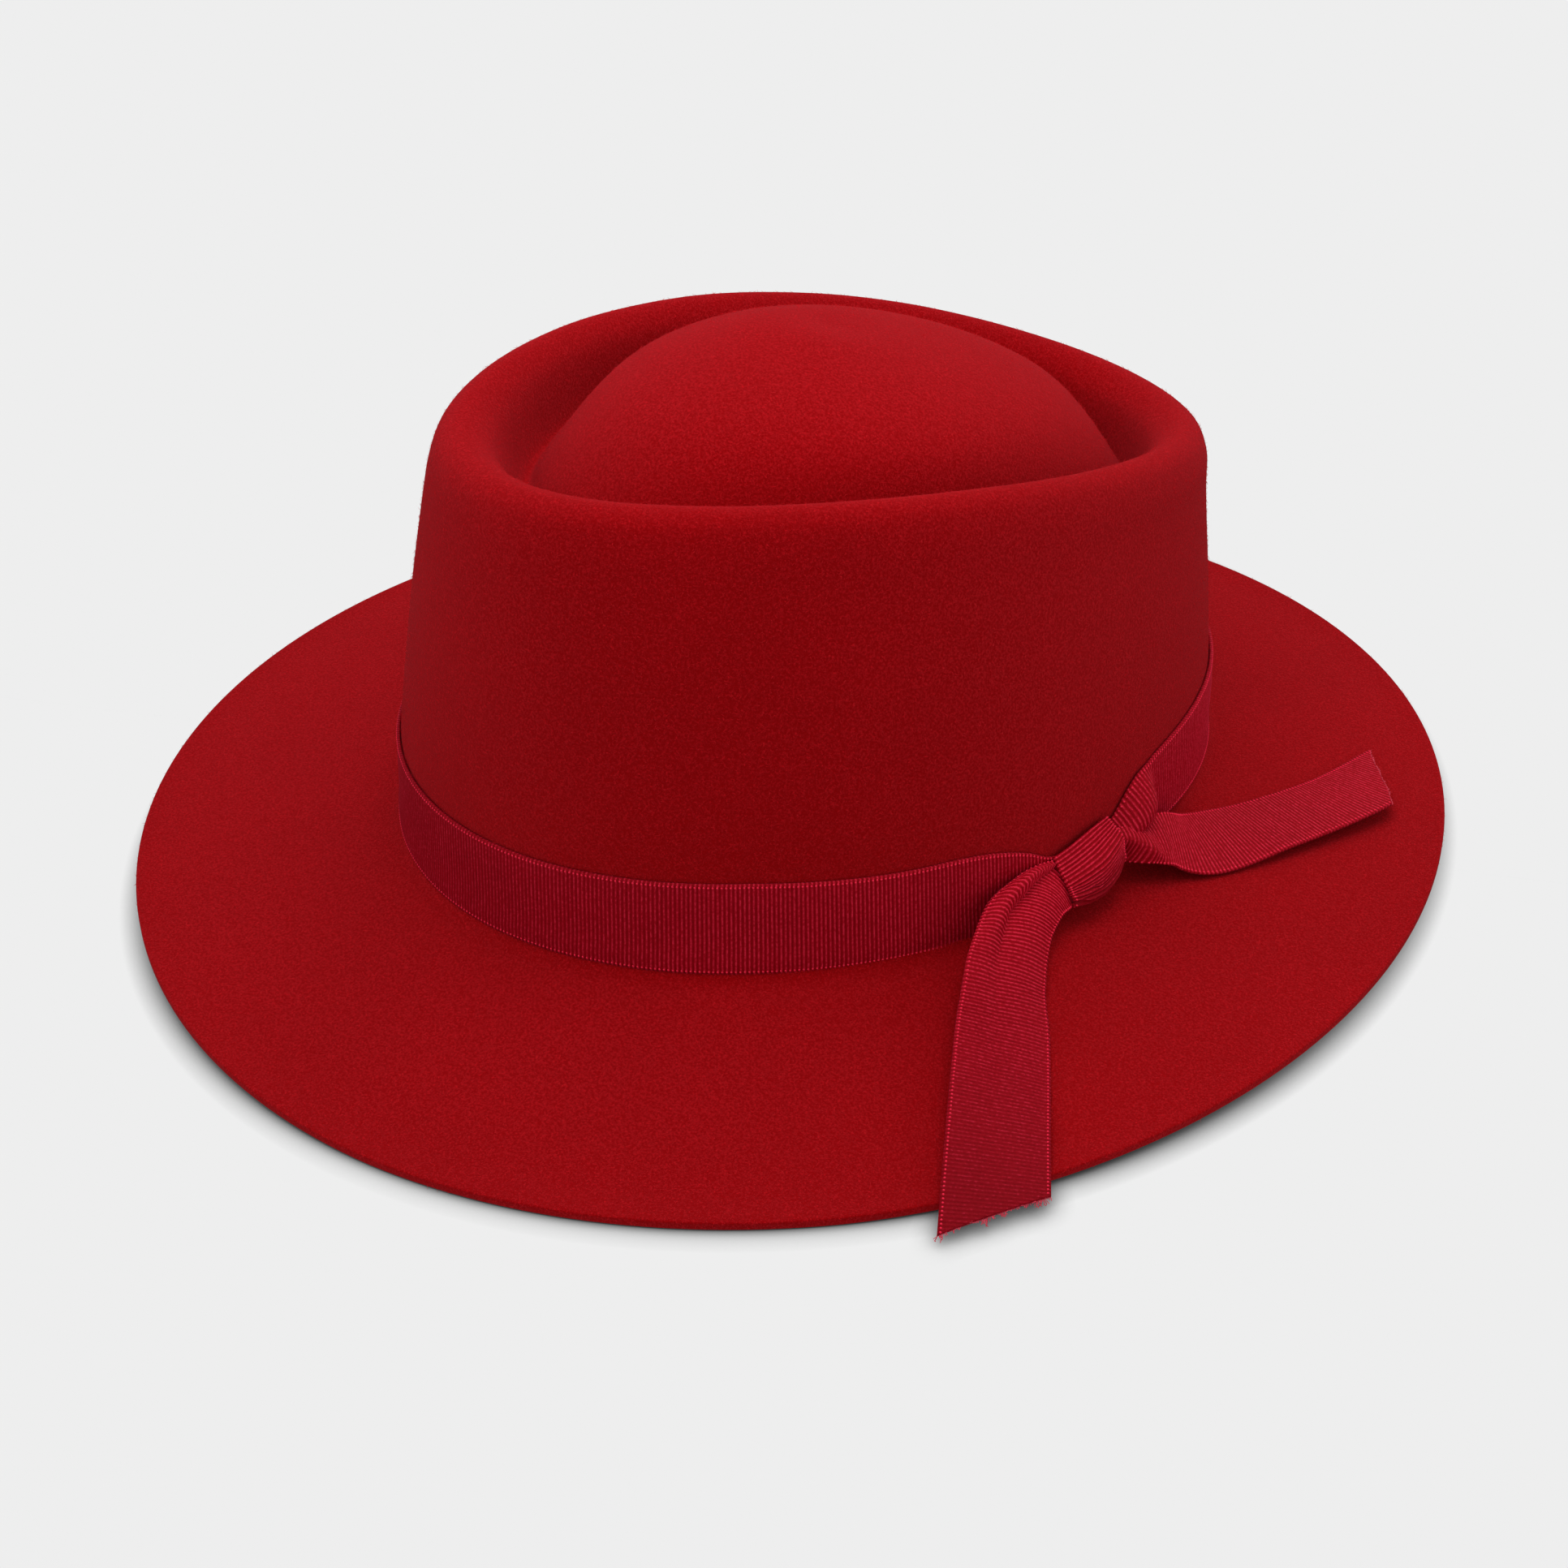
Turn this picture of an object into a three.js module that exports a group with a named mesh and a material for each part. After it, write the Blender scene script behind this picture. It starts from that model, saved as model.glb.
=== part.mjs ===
// A wide-brimmed felt hat with a telescope crown, resting on its brim.
// A grosgrain ribbon runs round the foot of the crown and is tied at the wearer's left side.
// Millimetres, +Z up, the hat's front towards -Y, the wearer's left towards +X.
// The origin is on the floor, under the middle of the brim.

import * as THREE from 'three';

// Driving dimensions

const FELT_THICKNESS = 2;
const RIBBON_WIDTH = 22;
const RIBBON_THICKNESS = 1;
const CLEARANCE = 0.3;

const SIDES = 64;
const HALVINGS = 24;
const NEARBY = 1e-3;
const FULL_TURN = 2 * Math.PI;
const DEGREE = Math.PI / 180;

// The brim rests along two arcs, at the wearer's left front and right back, and lifts between them.
const BRIM_LIFT = 4.2;
const REST_DIRECTION = -45 * DEGREE;
const REST_HALF_ANGLE = 18 * DEGREE;

// The rim of the crown is narrower in front than behind, by this share of its width.
const RIM_EGG = 0.045;

// Sections of the felt's outer face, from the brim's edge to the top of the dome.
// A section is an oval with half sizes halfX and halfY, moved back by shift. tilt raises its front and
// lowers its back, and saddle raises its sides and lowers its front and back, all from height.
// steps is how many facets lead to the next section.
const FELT_SECTIONS = [
  { name: 'brim edge', halfX: 148.3, halfY: 161, shift: 0, height: 2, tilt: 0, saddle: 0, steps: 1 },
  { name: 'rest line', halfX: 141.5, halfY: 154, shift: 0, height: 2, tilt: 0, saddle: 0, steps: 2 },
  { name: 'brim middle', halfX: 118, halfY: 132.5, shift: 1.5, height: 5, tilt: 0, saddle: 0, steps: 2 },
  { name: 'brim root', halfX: 92.5, halfY: 109.5, shift: 3.6, height: 10, tilt: 0, saddle: 0, steps: 2 },
  { name: 'brim break', halfX: 85.8, halfY: 103.6, shift: 4, height: 12.2, tilt: 0, saddle: 0, steps: 1 },
  { name: 'wall foot', halfX: 84.2, halfY: 102.2, shift: 4, height: 15.5, tilt: 0.3, saddle: 0.1, steps: 2 },
  { name: 'ribbon top', halfX: 82.2, halfY: 101.2, shift: 4.7, height: 34, tilt: 3.4, saddle: 1, steps: 2 },
  { name: 'wall middle', halfX: 77, halfY: 98.9, shift: 6.6, height: 58.7, tilt: 7.4, saddle: 2.1, steps: 2 },
  { name: 'wall top', halfX: 69.2, halfY: 95.8, shift: 9.2, height: 87, tilt: 11.9, saddle: 3.5, steps: 2 },
  { name: 'shoulder', halfX: 67, halfY: 94.7, shift: 10.4, height: 95.6, tilt: 12.9, saddle: 4, steps: 2 },
  { name: 'brow', halfX: 64.5, halfY: 92.3, shift: 10.6, height: 100.7, tilt: 12.9, saddle: 4, steps: 2 },
  { name: 'rim', halfX: 60.6, halfY: 87.6, shift: 10.6, height: 102.6, tilt: 12.9, saddle: 4, steps: 2 },
  { name: 'inner lip', halfX: 56.2, halfY: 81.3, shift: 10.6, height: 98.6, tilt: 12.9, saddle: 4, steps: 3 },
  { name: 'valley', halfX: 53, halfY: 75.5, shift: 12, height: 84.5, tilt: 12.4, saddle: 4.7, steps: 2 },
  { name: 'dome foot', halfX: 49.7, halfY: 71.1, shift: 12.7, height: 89.7, tilt: 11.2, saddle: 2.7, steps: 3 },
  { name: 'dome side', halfX: 41.3, halfY: 52.7, shift: 13.8, height: 106.8, tilt: 8.1, saddle: 0.4, steps: 4 },
  { name: 'dome top', halfX: 14.3, halfY: 18.2, shift: 13.8, height: 119.6, tilt: 4.6, saddle: 0, steps: 2 },
  { name: 'apex', halfX: 1, halfY: 1.4, shift: 13.8, height: 120.4, tilt: 0.2, saddle: 0, steps: 0 },
];

// The ribbon band: where it lies on the crown's wall, and how it is gathered into the knot.
const BAND_MIDDLE = 24;
const BAND_FACETS = 3;
const KNOT_DIRECTION = 11.4 * DEGREE;
const GATHERED_MIDDLE = 20.5;
const GATHERED_WIDTH = 11;
const GATHER_START = 7;
const GATHER_REACH = { towardsFront: 44, towardsBack: 22 };
const KNOT_RADIUS = 100;

// The knot's turn of ribbon, in sections along the wall from its front side to its back side:
// low and high are heights, depth is how far the turn stands out of the band.
const KNOT_SECTIONS = [
  { along: -8.5, low: 11.6, high: 24.2, depth: 3.6 },
  { along: -6.5, low: 11, high: 25.4, depth: 6 },
  { along: -1, low: 12.8, high: 26.8, depth: 7.2 },
  { along: 5.5, low: 15.4, high: 27.8, depth: 6.8 },
  { along: 11.5, low: 18.2, high: 28.2, depth: 3.6 },
];
const KNOT_ARC_STEPS = 8;
const KNOT_ARC_FULLNESS = 0.6;

// The tails, in sections along the middle of the ribbon. lean turns the ribbon about its length:
// at 0 it lies flat, at 90 it stands on edge with its face away from the crown. skew moves the two
// edges of the cut end apart along the ribbon.
const TAIL_FRONT = [
  { x: 87.5, y: 11.3, z: 21.7, width: 12.5, lean: 67, skew: 0 },
  { x: 90.5, y: 0.8, z: 19.3, width: 17.1, lean: 41, skew: 0 },
  { x: 100, y: -10.2, z: 14.6, width: 20, lean: 34.5, skew: 0 },
  { x: 110.8, y: -18.6, z: 10.4, width: 21.2, lean: 22.5, skew: 0 },
  { x: 132.7, y: -35.5, z: 6.1, width: 21.4, lean: 11, skew: -6 },
  { x: 148.3, y: -47.4, z: 2.8, width: RIBBON_WIDTH, lean: 3, skew: -11.5 },
];
const TAIL_BACK = [
  { x: 85.8, y: 38.8, z: 21.3, width: 8.8, lean: -57, skew: 0 },
  { x: 84.2, y: 45.5, z: 18, width: 13, lean: -40, skew: 0 },
  { x: 84.3, y: 55.5, z: 12.6, width: 17.6, lean: -21.5, skew: 0 },
  { x: 84.7, y: 74.8, z: 10.3, width: 20.2, lean: 0.5, skew: 0 },
  { x: 85, y: 97, z: 9.5, width: 20.6, lean: 5.6, skew: 9.5 },
  { x: 82.6, y: 114.3, z: 8.7, width: 20.6, lean: 6.8, skew: 18.5 },
];
const TAIL_STATIONS = 22;
const TAIL_FACETS = 4;

const FELT = { color: 0x9c1019, roughness: 0.95, metalness: 0 };
const RIBBON = { color: 0x9a1a2a, roughness: 0.6, metalness: 0 };

// A closed solid through loops of points. The loops join up in a ring, or both ends get a cap.
function loft(loops, isRing) {
  const size = loops[0].length;
  const points = loops.flat();
  const triangles = [];
  const spans = isRing ? loops.length : loops.length - 1;
  for (let row = 0; row < spans; row += 1) {
    const below = row * size;
    const above = ((row + 1) % loops.length) * size;
    for (let column = 0; column < size; column += 1) {
      const next = (column + 1) % size;
      triangles.push(below + column, below + next, above + next);
      triangles.push(below + column, above + next, above + column);
    }
  }
  if (!isRing) {
    const lastLoop = (loops.length - 1) * size;
    const startCentre = points.push(middleOf(loops[0])) - 1;
    const endCentre = points.push(middleOf(loops[loops.length - 1])) - 1;
    for (let column = 0; column < size; column += 1) {
      const next = (column + 1) % size;
      triangles.push(startCentre, next, column);
      triangles.push(endCentre, lastLoop + column, lastLoop + next);
    }
  }
  const geometry = new THREE.BufferGeometry().setFromPoints(points);
  geometry.setIndex(triangles);
  geometry.computeVertexNormals();
  return geometry;
}

function middleOf(loop) {
  const sum = loop.reduce((total, point) => total.add(point), new THREE.Vector3());
  return sum.divideScalar(loop.length);
}

// The felt's outer face. place runs from 0 at the brim's edge to 1 at the apex.
const sizeCurve = new THREE.CatmullRomCurve3(
  FELT_SECTIONS.map((row) => new THREE.Vector3(row.halfX, row.halfY, row.height)),
);
const leanCurve = new THREE.CatmullRomCurve3(
  FELT_SECTIONS.map((row) => new THREE.Vector3(row.shift, row.tilt, row.saddle)),
);

function placeOf(name) {
  return FELT_SECTIONS.findIndex((row) => row.name === name) / (FELT_SECTIONS.length - 1);
}

const REST_PLACE = placeOf('rest line');
const FOOT_PLACE = placeOf('wall foot');
const WALL_PLACE = placeOf('wall middle');
const RIM_TILT = FELT_SECTIONS.find((row) => row.name === 'rim').tilt;
const REST_WIDTH = FELT_SECTIONS.find((row) => row.name === 'rest line').halfX;
const FOOT_WIDTH = FELT_SECTIONS.find((row) => row.name === 'wall foot').halfX;

function brimLift(direction) {
  const away = Math.sin(direction - REST_DIRECTION) ** 2;
  const flat = Math.sin(REST_HALF_ANGLE) ** 2;
  return BRIM_LIFT * Math.max(0, (away - flat) / (1 - flat));
}

function feltPoint(place, direction) {
  const size = sizeCurve.getPoint(place);
  const lean = leanCurve.getPoint(place);
  const across = Math.cos(direction);
  const along = Math.sin(direction);
  const egg = 1 + (RIM_EGG * lean.y / RIM_TILT) * along;
  const liftShare = place < FOOT_PLACE ? THREE.MathUtils.smoothstep(size.x, FOOT_WIDTH, REST_WIDTH) : 0;
  const height = size.z - lean.y * along + lean.z * Math.cos(2 * direction);
  return new THREE.Vector3(
    size.x * across * egg,
    lean.x + size.y * along,
    height + liftShare * brimLift(direction),
  );
}

function feltNormal(place, direction) {
  const before = feltPoint(place, direction - NEARBY);
  const after = feltPoint(place, direction + NEARBY);
  const outwards = feltPoint(Math.max(0, place - NEARBY), direction);
  const inwards = feltPoint(Math.min(1, place + NEARBY), direction);
  return after.sub(before).cross(inwards.sub(outwards)).normalize();
}

// The felt's inner face lies one thickness in. Along the resting strip it is straight below.
function feltInnerPoint(place, direction) {
  const normal = place <= REST_PLACE ? new THREE.Vector3(0, 0, 1) : feltNormal(place, direction);
  return feltPoint(place, direction).addScaledVector(normal, -FELT_THICKNESS);
}

function directions() {
  return Array.from({ length: SIDES }, (_, side) => (FULL_TURN * side) / SIDES);
}

function feltPlaces() {
  const last = FELT_SECTIONS.length - 1;
  const places = FELT_SECTIONS.flatMap((row, index) =>
    Array.from({ length: row.steps }, (_, step) => (index + step / row.steps) / last));
  return [...places, 1];
}

function makeFelt() {
  const places = feltPlaces();
  const outer = places.map((place) => directions().map((direction) => feltPoint(place, direction)));
  const inner = places.map((place) => directions().map((direction) => feltInnerPoint(place, direction)));
  return loft([...inner.reverse(), ...outer], false);
}

// A point out from the crown's wall at a height, found by halving.
function wallPoint(direction, height, out) {
  let low = placeOf('brim root');
  let high = WALL_PLACE;
  for (let halving = 0; halving < HALVINGS; halving += 1) {
    const middle = (low + high) / 2;
    if (feltPoint(middle, direction).z < height) low = middle;
    else high = middle;
  }
  return feltPoint(low, direction).addScaledVector(feltNormal(low, direction), out);
}

// The height of the brim's upper face under a point, found by halving towards the crown.
function brimTop(x, y) {
  let low = 0;
  let high = FOOT_PLACE;
  for (let halving = 0; halving < HALVINGS; halving += 1) {
    const middle = (low + high) / 2;
    const size = sizeCurve.getPoint(middle);
    const shift = leanCurve.getPoint(middle).x;
    if ((x / size.x) ** 2 + ((y - shift) / size.y) ** 2 < 1) low = middle;
    else high = middle;
  }
  const size = sizeCurve.getPoint(low);
  const direction = Math.atan2((y - leanCurve.getPoint(low).x) / size.y, x / size.x);
  return feltPoint(low, direction).z;
}

// The band is a ring of ribbon that narrows to pass under the knot.
function makeBand() {
  const loops = directions().map((direction) => {
    const turn = Math.atan2(Math.sin(direction - KNOT_DIRECTION), Math.cos(direction - KNOT_DIRECTION));
    const reach = turn < 0 ? GATHER_REACH.towardsFront : GATHER_REACH.towardsBack;
    const open = THREE.MathUtils.smoothstep(Math.abs(turn) * KNOT_RADIUS, GATHER_START, reach);
    const width = THREE.MathUtils.lerp(GATHERED_WIDTH, RIBBON_WIDTH, open);
    const middle = THREE.MathUtils.lerp(GATHERED_MIDDLE, BAND_MIDDLE, open);
    const heights = Array.from({ length: BAND_FACETS + 1 }, (_, step) =>
      middle + width * (step / BAND_FACETS - 0.5));
    const inner = heights.map((height) => wallPoint(direction, height, CLEARANCE));
    const outer = heights.map((height) => wallPoint(direction, height, CLEARANCE + RIBBON_THICKNESS));
    return [...inner, ...outer.reverse()];
  });
  return loft(loops, true);
}

// The knot is a rounded turn of ribbon that lies on the band, flat behind.
function makeKnot() {
  const seat = RIBBON_THICKNESS + 2 * CLEARANCE;
  const loops = KNOT_SECTIONS.map((row) => {
    const direction = KNOT_DIRECTION + row.along / KNOT_RADIUS;
    const middle = (row.low + row.high) / 2;
    const half = (row.high - row.low) / 2;
    return Array.from({ length: KNOT_ARC_STEPS + 1 }, (_, step) => {
      const angle = (Math.PI * step) / KNOT_ARC_STEPS;
      const out = seat + row.depth * Math.sin(angle) ** KNOT_ARC_FULLNESS;
      return wallPoint(direction, middle + half * Math.cos(angle), out);
    });
  });
  return loft(loops, false);
}

// A tail is a strip of ribbon along its sections, laid on the brim wherever it would sink into it.
function makeTail(sections) {
  const path = new THREE.CatmullRomCurve3(sections.map((row) => new THREE.Vector3(row.x, row.y, row.z)));
  const form = new THREE.CatmullRomCurve3(
    sections.map((row) => new THREE.Vector3(row.width, row.lean * DEGREE, row.skew)),
  );
  const loops = Array.from({ length: TAIL_STATIONS + 1 }, (_, station) => {
    const place = station / TAIL_STATIONS;
    const centre = path.getPoint(place);
    const heading = path.getTangent(place);
    const { x: width, y: lean, z: skew } = form.getPoint(place);
    const level = new THREE.Vector3(-heading.y, heading.x, 0).normalize();
    const across = level.applyAxisAngle(heading, -lean);
    const up = new THREE.Vector3().crossVectors(heading, across).normalize();
    const lower = Array.from({ length: TAIL_FACETS + 1 }, (_, step) => {
      const share = step / TAIL_FACETS - 0.5;
      const point = centre.clone().addScaledVector(across, width * share);
      point.addScaledVector(heading, skew * share);
      point.z = Math.max(point.z, brimTop(point.x, point.y) + CLEARANCE);
      return point;
    });
    const upper = lower.map((point) => point.clone().addScaledVector(up, RIBBON_THICKNESS));
    return [...lower, ...upper.reverse()];
  });
  return loft(loops, false);
}

function piece(name, geometry, finish) {
  const mesh = new THREE.Mesh(geometry, new THREE.MeshStandardMaterial(finish));
  mesh.name = name;
  return mesh;
}

const hat = new THREE.Group();
hat.add(piece('felt_body', makeFelt(), FELT));
hat.add(piece('ribbon_band', makeBand(), RIBBON));
hat.add(piece('ribbon_knot', makeKnot(), RIBBON));
hat.add(piece('tail_front', makeTail(TAIL_FRONT), RIBBON));
hat.add(piece('tail_back', makeTail(TAIL_BACK), RIBBON));

export default hat;
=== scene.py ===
# %% [markdown]
# A red felt hat, tied with a ribbon.
# The hat is one hood of wool felt, pulled over a block so that the crown gets a rim, a valley and a domed
# centre. A ribbed ribbon runs round the foot of the crown and is knotted at the wearer's left side.
# A plain model of the same hat fixes the size and place of each piece. This lesson starts from that model
# and makes the looks around it: the felt's nap, the ribbon's ribs, the knot and its two tails.

# %% Load the plain model
import math
from collections import namedtuple

import bpy
import numpy as np
from mathutils import Matrix, Vector
from mathutils.bvhtree import BVHTree


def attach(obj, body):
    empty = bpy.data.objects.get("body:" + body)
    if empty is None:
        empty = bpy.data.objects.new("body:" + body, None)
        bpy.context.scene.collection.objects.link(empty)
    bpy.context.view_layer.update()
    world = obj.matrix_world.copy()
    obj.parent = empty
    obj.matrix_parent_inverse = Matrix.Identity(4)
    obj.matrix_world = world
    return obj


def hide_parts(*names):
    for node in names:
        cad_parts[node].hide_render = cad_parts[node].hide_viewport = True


MM = 0.001
scene = bpy.context.scene
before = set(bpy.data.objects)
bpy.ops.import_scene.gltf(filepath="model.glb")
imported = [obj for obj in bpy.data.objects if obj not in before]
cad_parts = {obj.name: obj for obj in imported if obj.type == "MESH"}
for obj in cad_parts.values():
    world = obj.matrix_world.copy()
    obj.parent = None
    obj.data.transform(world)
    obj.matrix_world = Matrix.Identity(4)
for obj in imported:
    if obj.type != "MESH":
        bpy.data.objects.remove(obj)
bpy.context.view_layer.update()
print("The plain model holds", ", ".join(sorted(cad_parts)))

# %% [markdown]
# The camera comes first, because it decides which details show.
# A camera can be placed by eye, but here its place, aim and angle of view were worked out from the hat's
# ovals: the brim, the ribbon and the rim are all seen at a slant, and only one place makes all of them fit.

# %% Place the camera
CAMERA_PLACE = Vector((418.6, -255.8, 334.9)) * MM
CAMERA_AIM = Vector((20.6, -16.5, 20.0)) * MM
CAMERA_ANGLE = math.radians(36.2)
CAMERA_ROLL = math.radians(-1.18)
UP = Vector((0, 0, 1))


def place_camera():
    """A camera at CAMERA_PLACE that looks at CAMERA_AIM, turned a little about its own axis."""
    data = bpy.data.cameras.new("studio_camera")
    data.sensor_fit = "HORIZONTAL"
    data.angle = CAMERA_ANGLE
    camera = bpy.data.objects.new("studio_camera", data)
    scene.collection.objects.link(camera)
    back = (CAMERA_PLACE - CAMERA_AIM).normalized()
    right = UP.cross(back).normalized()
    turned = Matrix((right, back.cross(right), back)).transposed().to_4x4()
    camera.matrix_world = Matrix.Translation(CAMERA_PLACE) @ turned @ Matrix.Rotation(CAMERA_ROLL, 4, "Z")
    scene.camera = camera
    return camera


print("Camera lens", round(place_camera().data.lens, 1), "mm")

# %% [markdown]
# Node trees make the felt, the ribs and the finishes. Written out node by node they are hard to read, so
# two small classes help: one adds a node and fills its inputs in one line, and the other lets Python's own
# signs stand for Math nodes. A formula in a tree then looks like a formula.


# %% Arithmetic with the outputs of nodes
class Field:
    """An output of a node, which the usual signs of arithmetic can work with."""

    def __init__(self, writer, node, socket):
        self.writer = writer
        self.node = node
        self.socket = socket

    def output(self, name):
        return Field(self.writer, self.node, self.node.outputs[name])

    def __add__(self, other):
        return self.writer.maths("ADD", self, other)

    def __radd__(self, other):
        return self.writer.maths("ADD", other, self)

    def __sub__(self, other):
        return self.writer.maths("SUBTRACT", self, other)

    def __rsub__(self, other):
        return self.writer.maths("SUBTRACT", other, self)

    def __mul__(self, other):
        return self.writer.maths("MULTIPLY", self, other)

    def __truediv__(self, other):
        return self.writer.maths("DIVIDE", self, other)

    def __rtruediv__(self, other):
        return self.writer.maths("DIVIDE", other, self)


# %% A short way to write node trees
# A Mix node's first, second and output socket for each kind of value.
MIX_SOCKETS = {"FLOAT": (2, 3, 0), "VECTOR": (4, 5, 1), "RGBA": (6, 7, 2)}


class NodeWriter:
    """Writes one node tree, a node at a time."""

    def __init__(self, tree):
        self.tree = tree

    def link(self, field, socket):
        self.tree.links.new(field.socket, socket)

    def add(self, kind, inputs=None, output=0, **settings):
        """Adds a node with its settings, fills or links its inputs, and gives one of its outputs."""
        node = self.tree.nodes.new(kind)
        for setting, value in settings.items():
            setattr(node, setting, value)
        for name, value in (inputs or {}).items():
            if isinstance(value, Field):
                self.link(value, node.inputs[name])
            else:
                node.inputs[name].default_value = value
        return Field(self, node, node.outputs[output] if node.outputs else None)

    def maths(self, operation, *values):
        return self.add("ShaderNodeMath", dict(enumerate(values)), operation=operation)

    def vector_maths(self, operation, *values):
        return self.add("ShaderNodeVectorMath", dict(enumerate(values)), operation=operation)

    def scaled(self, vector, amount):
        return self.add("ShaderNodeVectorMath", {0: vector, "Scale": amount}, operation="SCALE")

    def between(self, start, end, share, kind="FLOAT", blend="MIX"):
        """What lies at share of the way from start to end. Colours can be blended in other ways too."""
        first, second, output = MIX_SOCKETS[kind]
        inputs = {"Factor": share, first: start, second: end}
        return self.add("ShaderNodeMix", inputs, output, data_type=kind, blend_type=blend)

    def split(self, vector):
        parts = self.add("ShaderNodeSeparateXYZ", {0: vector})
        return parts.output("X"), parts.output("Y"), parts.output("Z")

    def joined(self, x, y, z):
        return self.add("ShaderNodeCombineXYZ", {"X": x, "Y": y, "Z": z})

    def faded(self, value, start, end):
        """0 up to start, 1 from end on, and a smooth change between them."""
        limits = {"Value": value, 1: start, 2: end}
        return self.add("ShaderNodeMapRange", limits, interpolation_type="SMOOTHSTEP")

    def noise(self, inputs, output=0):
        return self.add("ShaderNodeTexNoise", inputs, output)

    def chance(self, low, high, seed):
        """A random number from low to high, another one for each point."""
        return self.add("FunctionNodeRandomValue", {2: low, 3: high, "Seed": seed}, 1, data_type="FLOAT")

    def keep(self, mesh, name, value, kind="FLOAT"):
        """The mesh, with a value kept on its points under a name."""
        inputs = {"Geometry": mesh, "Name": name, "Value": value}
        return self.add("GeometryNodeStoreNamedAttribute", inputs, data_type=kind)

    def kept(self, name, kind="FLOAT"):
        """The value that was kept under a name."""
        return self.add("GeometryNodeInputNamedAttribute", {"Name": name}, data_type=kind)

    def looked_up(self, mesh, value, point, kind="FLOAT"):
        """The value that one point of another mesh has."""
        inputs = {"Geometry": mesh, "Value": value, "Index": point}
        return self.add("GeometryNodeSampleIndex", inputs, data_type=kind)

    def row_and_column(self, columns):
        """Each point's row and column in a grid. Half a point is added, so that rounding loses no row."""
        index = self.add("GeometryNodeInputIndex")
        row = self.maths("FLOOR", (index + 0.5) / columns)
        return row, index - row * columns

    def together(self, first, second):
        both = self.add("GeometryNodeJoinGeometry", {"Geometry": first})
        self.link(second, both.node.inputs["Geometry"])
        return both


# %% [markdown]
# A mesh could be edited by hand, but a Geometry Nodes tree is a recipe: it can be run again with other
# values. The hat's pieces are made by such trees, most of them from guide points. So making a guide and
# starting, ending and running a tree are written once, here.

# %% Start and end a node tree
WHOLE = "NodeSocketInt"
SIZE = "NodeSocketFloat"
VECTOR = "NodeSocketVector"
MATERIAL = "NodeSocketMaterial"
GEOMETRY = "NodeSocketGeometry"


def start_tree(name, kind, inputs, outputs):
    """A new tree with named inputs and outputs. Gives its writer and a field for each input."""
    tree = bpy.data.node_groups.new(name, kind)
    for way, sockets in (("INPUT", inputs), ("OUTPUT", outputs)):
        for label, socket in sockets.items():
            tree.interface.new_socket(label, in_out=way, socket_type=socket)
    writer = NodeWriter(tree)
    start = writer.add("NodeGroupInput")
    return writer, {label: start.output(label) for label in inputs}


def start_geometry_tree(name, wholes, sizes):
    """A tree that makes one mesh out of another, with whole numbers, sizes and a material as inputs."""
    numbers = {**dict.fromkeys(wholes, WHOLE), **dict.fromkeys(sizes, SIZE)}
    inputs = {"Geometry": GEOMETRY, **numbers, "Material": MATERIAL}
    return start_tree(name, "GeometryNodeTree", inputs, {"Geometry": GEOMETRY})


def end_geometry_tree(writer, geometry, material):
    """Makes the instances real, gives them their material and ends the tree."""
    real = writer.add("GeometryNodeRealizeInstances", {"Geometry": geometry})
    smooth = writer.add("GeometryNodeSetShadeSmooth", {"Geometry": real})
    dressed = writer.add("GeometryNodeSetMaterial", {"Geometry": smooth, "Material": material})
    writer.add("NodeGroupOutput", {"Geometry": dressed})
    return writer.tree


# %% Make a guide and run a tree on it
def make_guide(name, points, edges=(), **values):
    """A mesh of points for a tree to work on, with named numbers or vectors kept on the points."""
    mesh = bpy.data.meshes.new(name)
    mesh.from_pydata(np.array(points).tolist(), edges, [])
    for label, value in values.items():
        value = np.array(value)
        kind, member = ("FLOAT", "value") if value.ndim == 1 else ("FLOAT_VECTOR", "vector")
        mesh.attributes.new(label, kind, "POINT").data.foreach_set(member, value.ravel())
    return mesh


def plain_mesh(holder):
    """Turns all the modifiers of an object into its plain mesh."""
    graph = bpy.context.evaluated_depsgraph_get()
    mesh = bpy.data.meshes.new_from_object(
        holder.evaluated_get(graph), preserve_all_data_layers=True, depsgraph=graph
    )
    mesh.name = holder.name
    holder.modifiers.clear()
    holder.data = mesh
    return holder


def run_tree(name, mesh, tree, values):
    """A new object whose mesh is what the tree makes of the given mesh."""
    holder = bpy.data.objects.new(name, mesh)
    scene.collection.objects.link(holder)
    modifier = holder.modifiers.new(tree.name, "NODES")
    modifier.node_group = tree
    for item in tree.interface.items_tree:
        if item.in_out == "INPUT" and item.name in values:
            modifier[item.identifier] = values[item.name]
    return plain_mesh(holder)


def report(piece):
    triangles = sum(len(face.vertices) - 2 for face in piece.data.polygons)
    print(piece.name, "has", triangles, "triangles")
    return piece


# %% [markdown]
# Wool felt and woven ribbon share two effects, so each is a group of shader nodes that every finish places
# with its own values. Dye never takes quite evenly: the first group makes broad, faint clouds of tone.
# Short fibres lie on the surface in curls: the second draws them as the thin lines where a noise crosses its
# middle value, broken up by a coarser noise.

# %% Effects that the finishes share
CLOUD_DETAIL = 3.0

# A noise swings about its middle value, by about a quarter to each side.
NOISE_MIDDLE = 0.5
NOISE_STRETCH = 4.0

# The second layer of fibres is moved and turned, so that its lines cross those of the first.
FIBRE_LAYERS = ((0.0, 0.0), (3.7, 0.9))
CURLS = {"Detail": 1.5, "Roughness": 0.55, "Distortion": 0.6}
BREAK_SCALE = 0.55
BREAK_DETAIL = 1.0
BREAK_LIMITS = (0.42, 0.62)
GRAIN_SCALE = 0.8
GRAIN = {"Detail": 4.0, "Roughness": 0.7}


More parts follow.
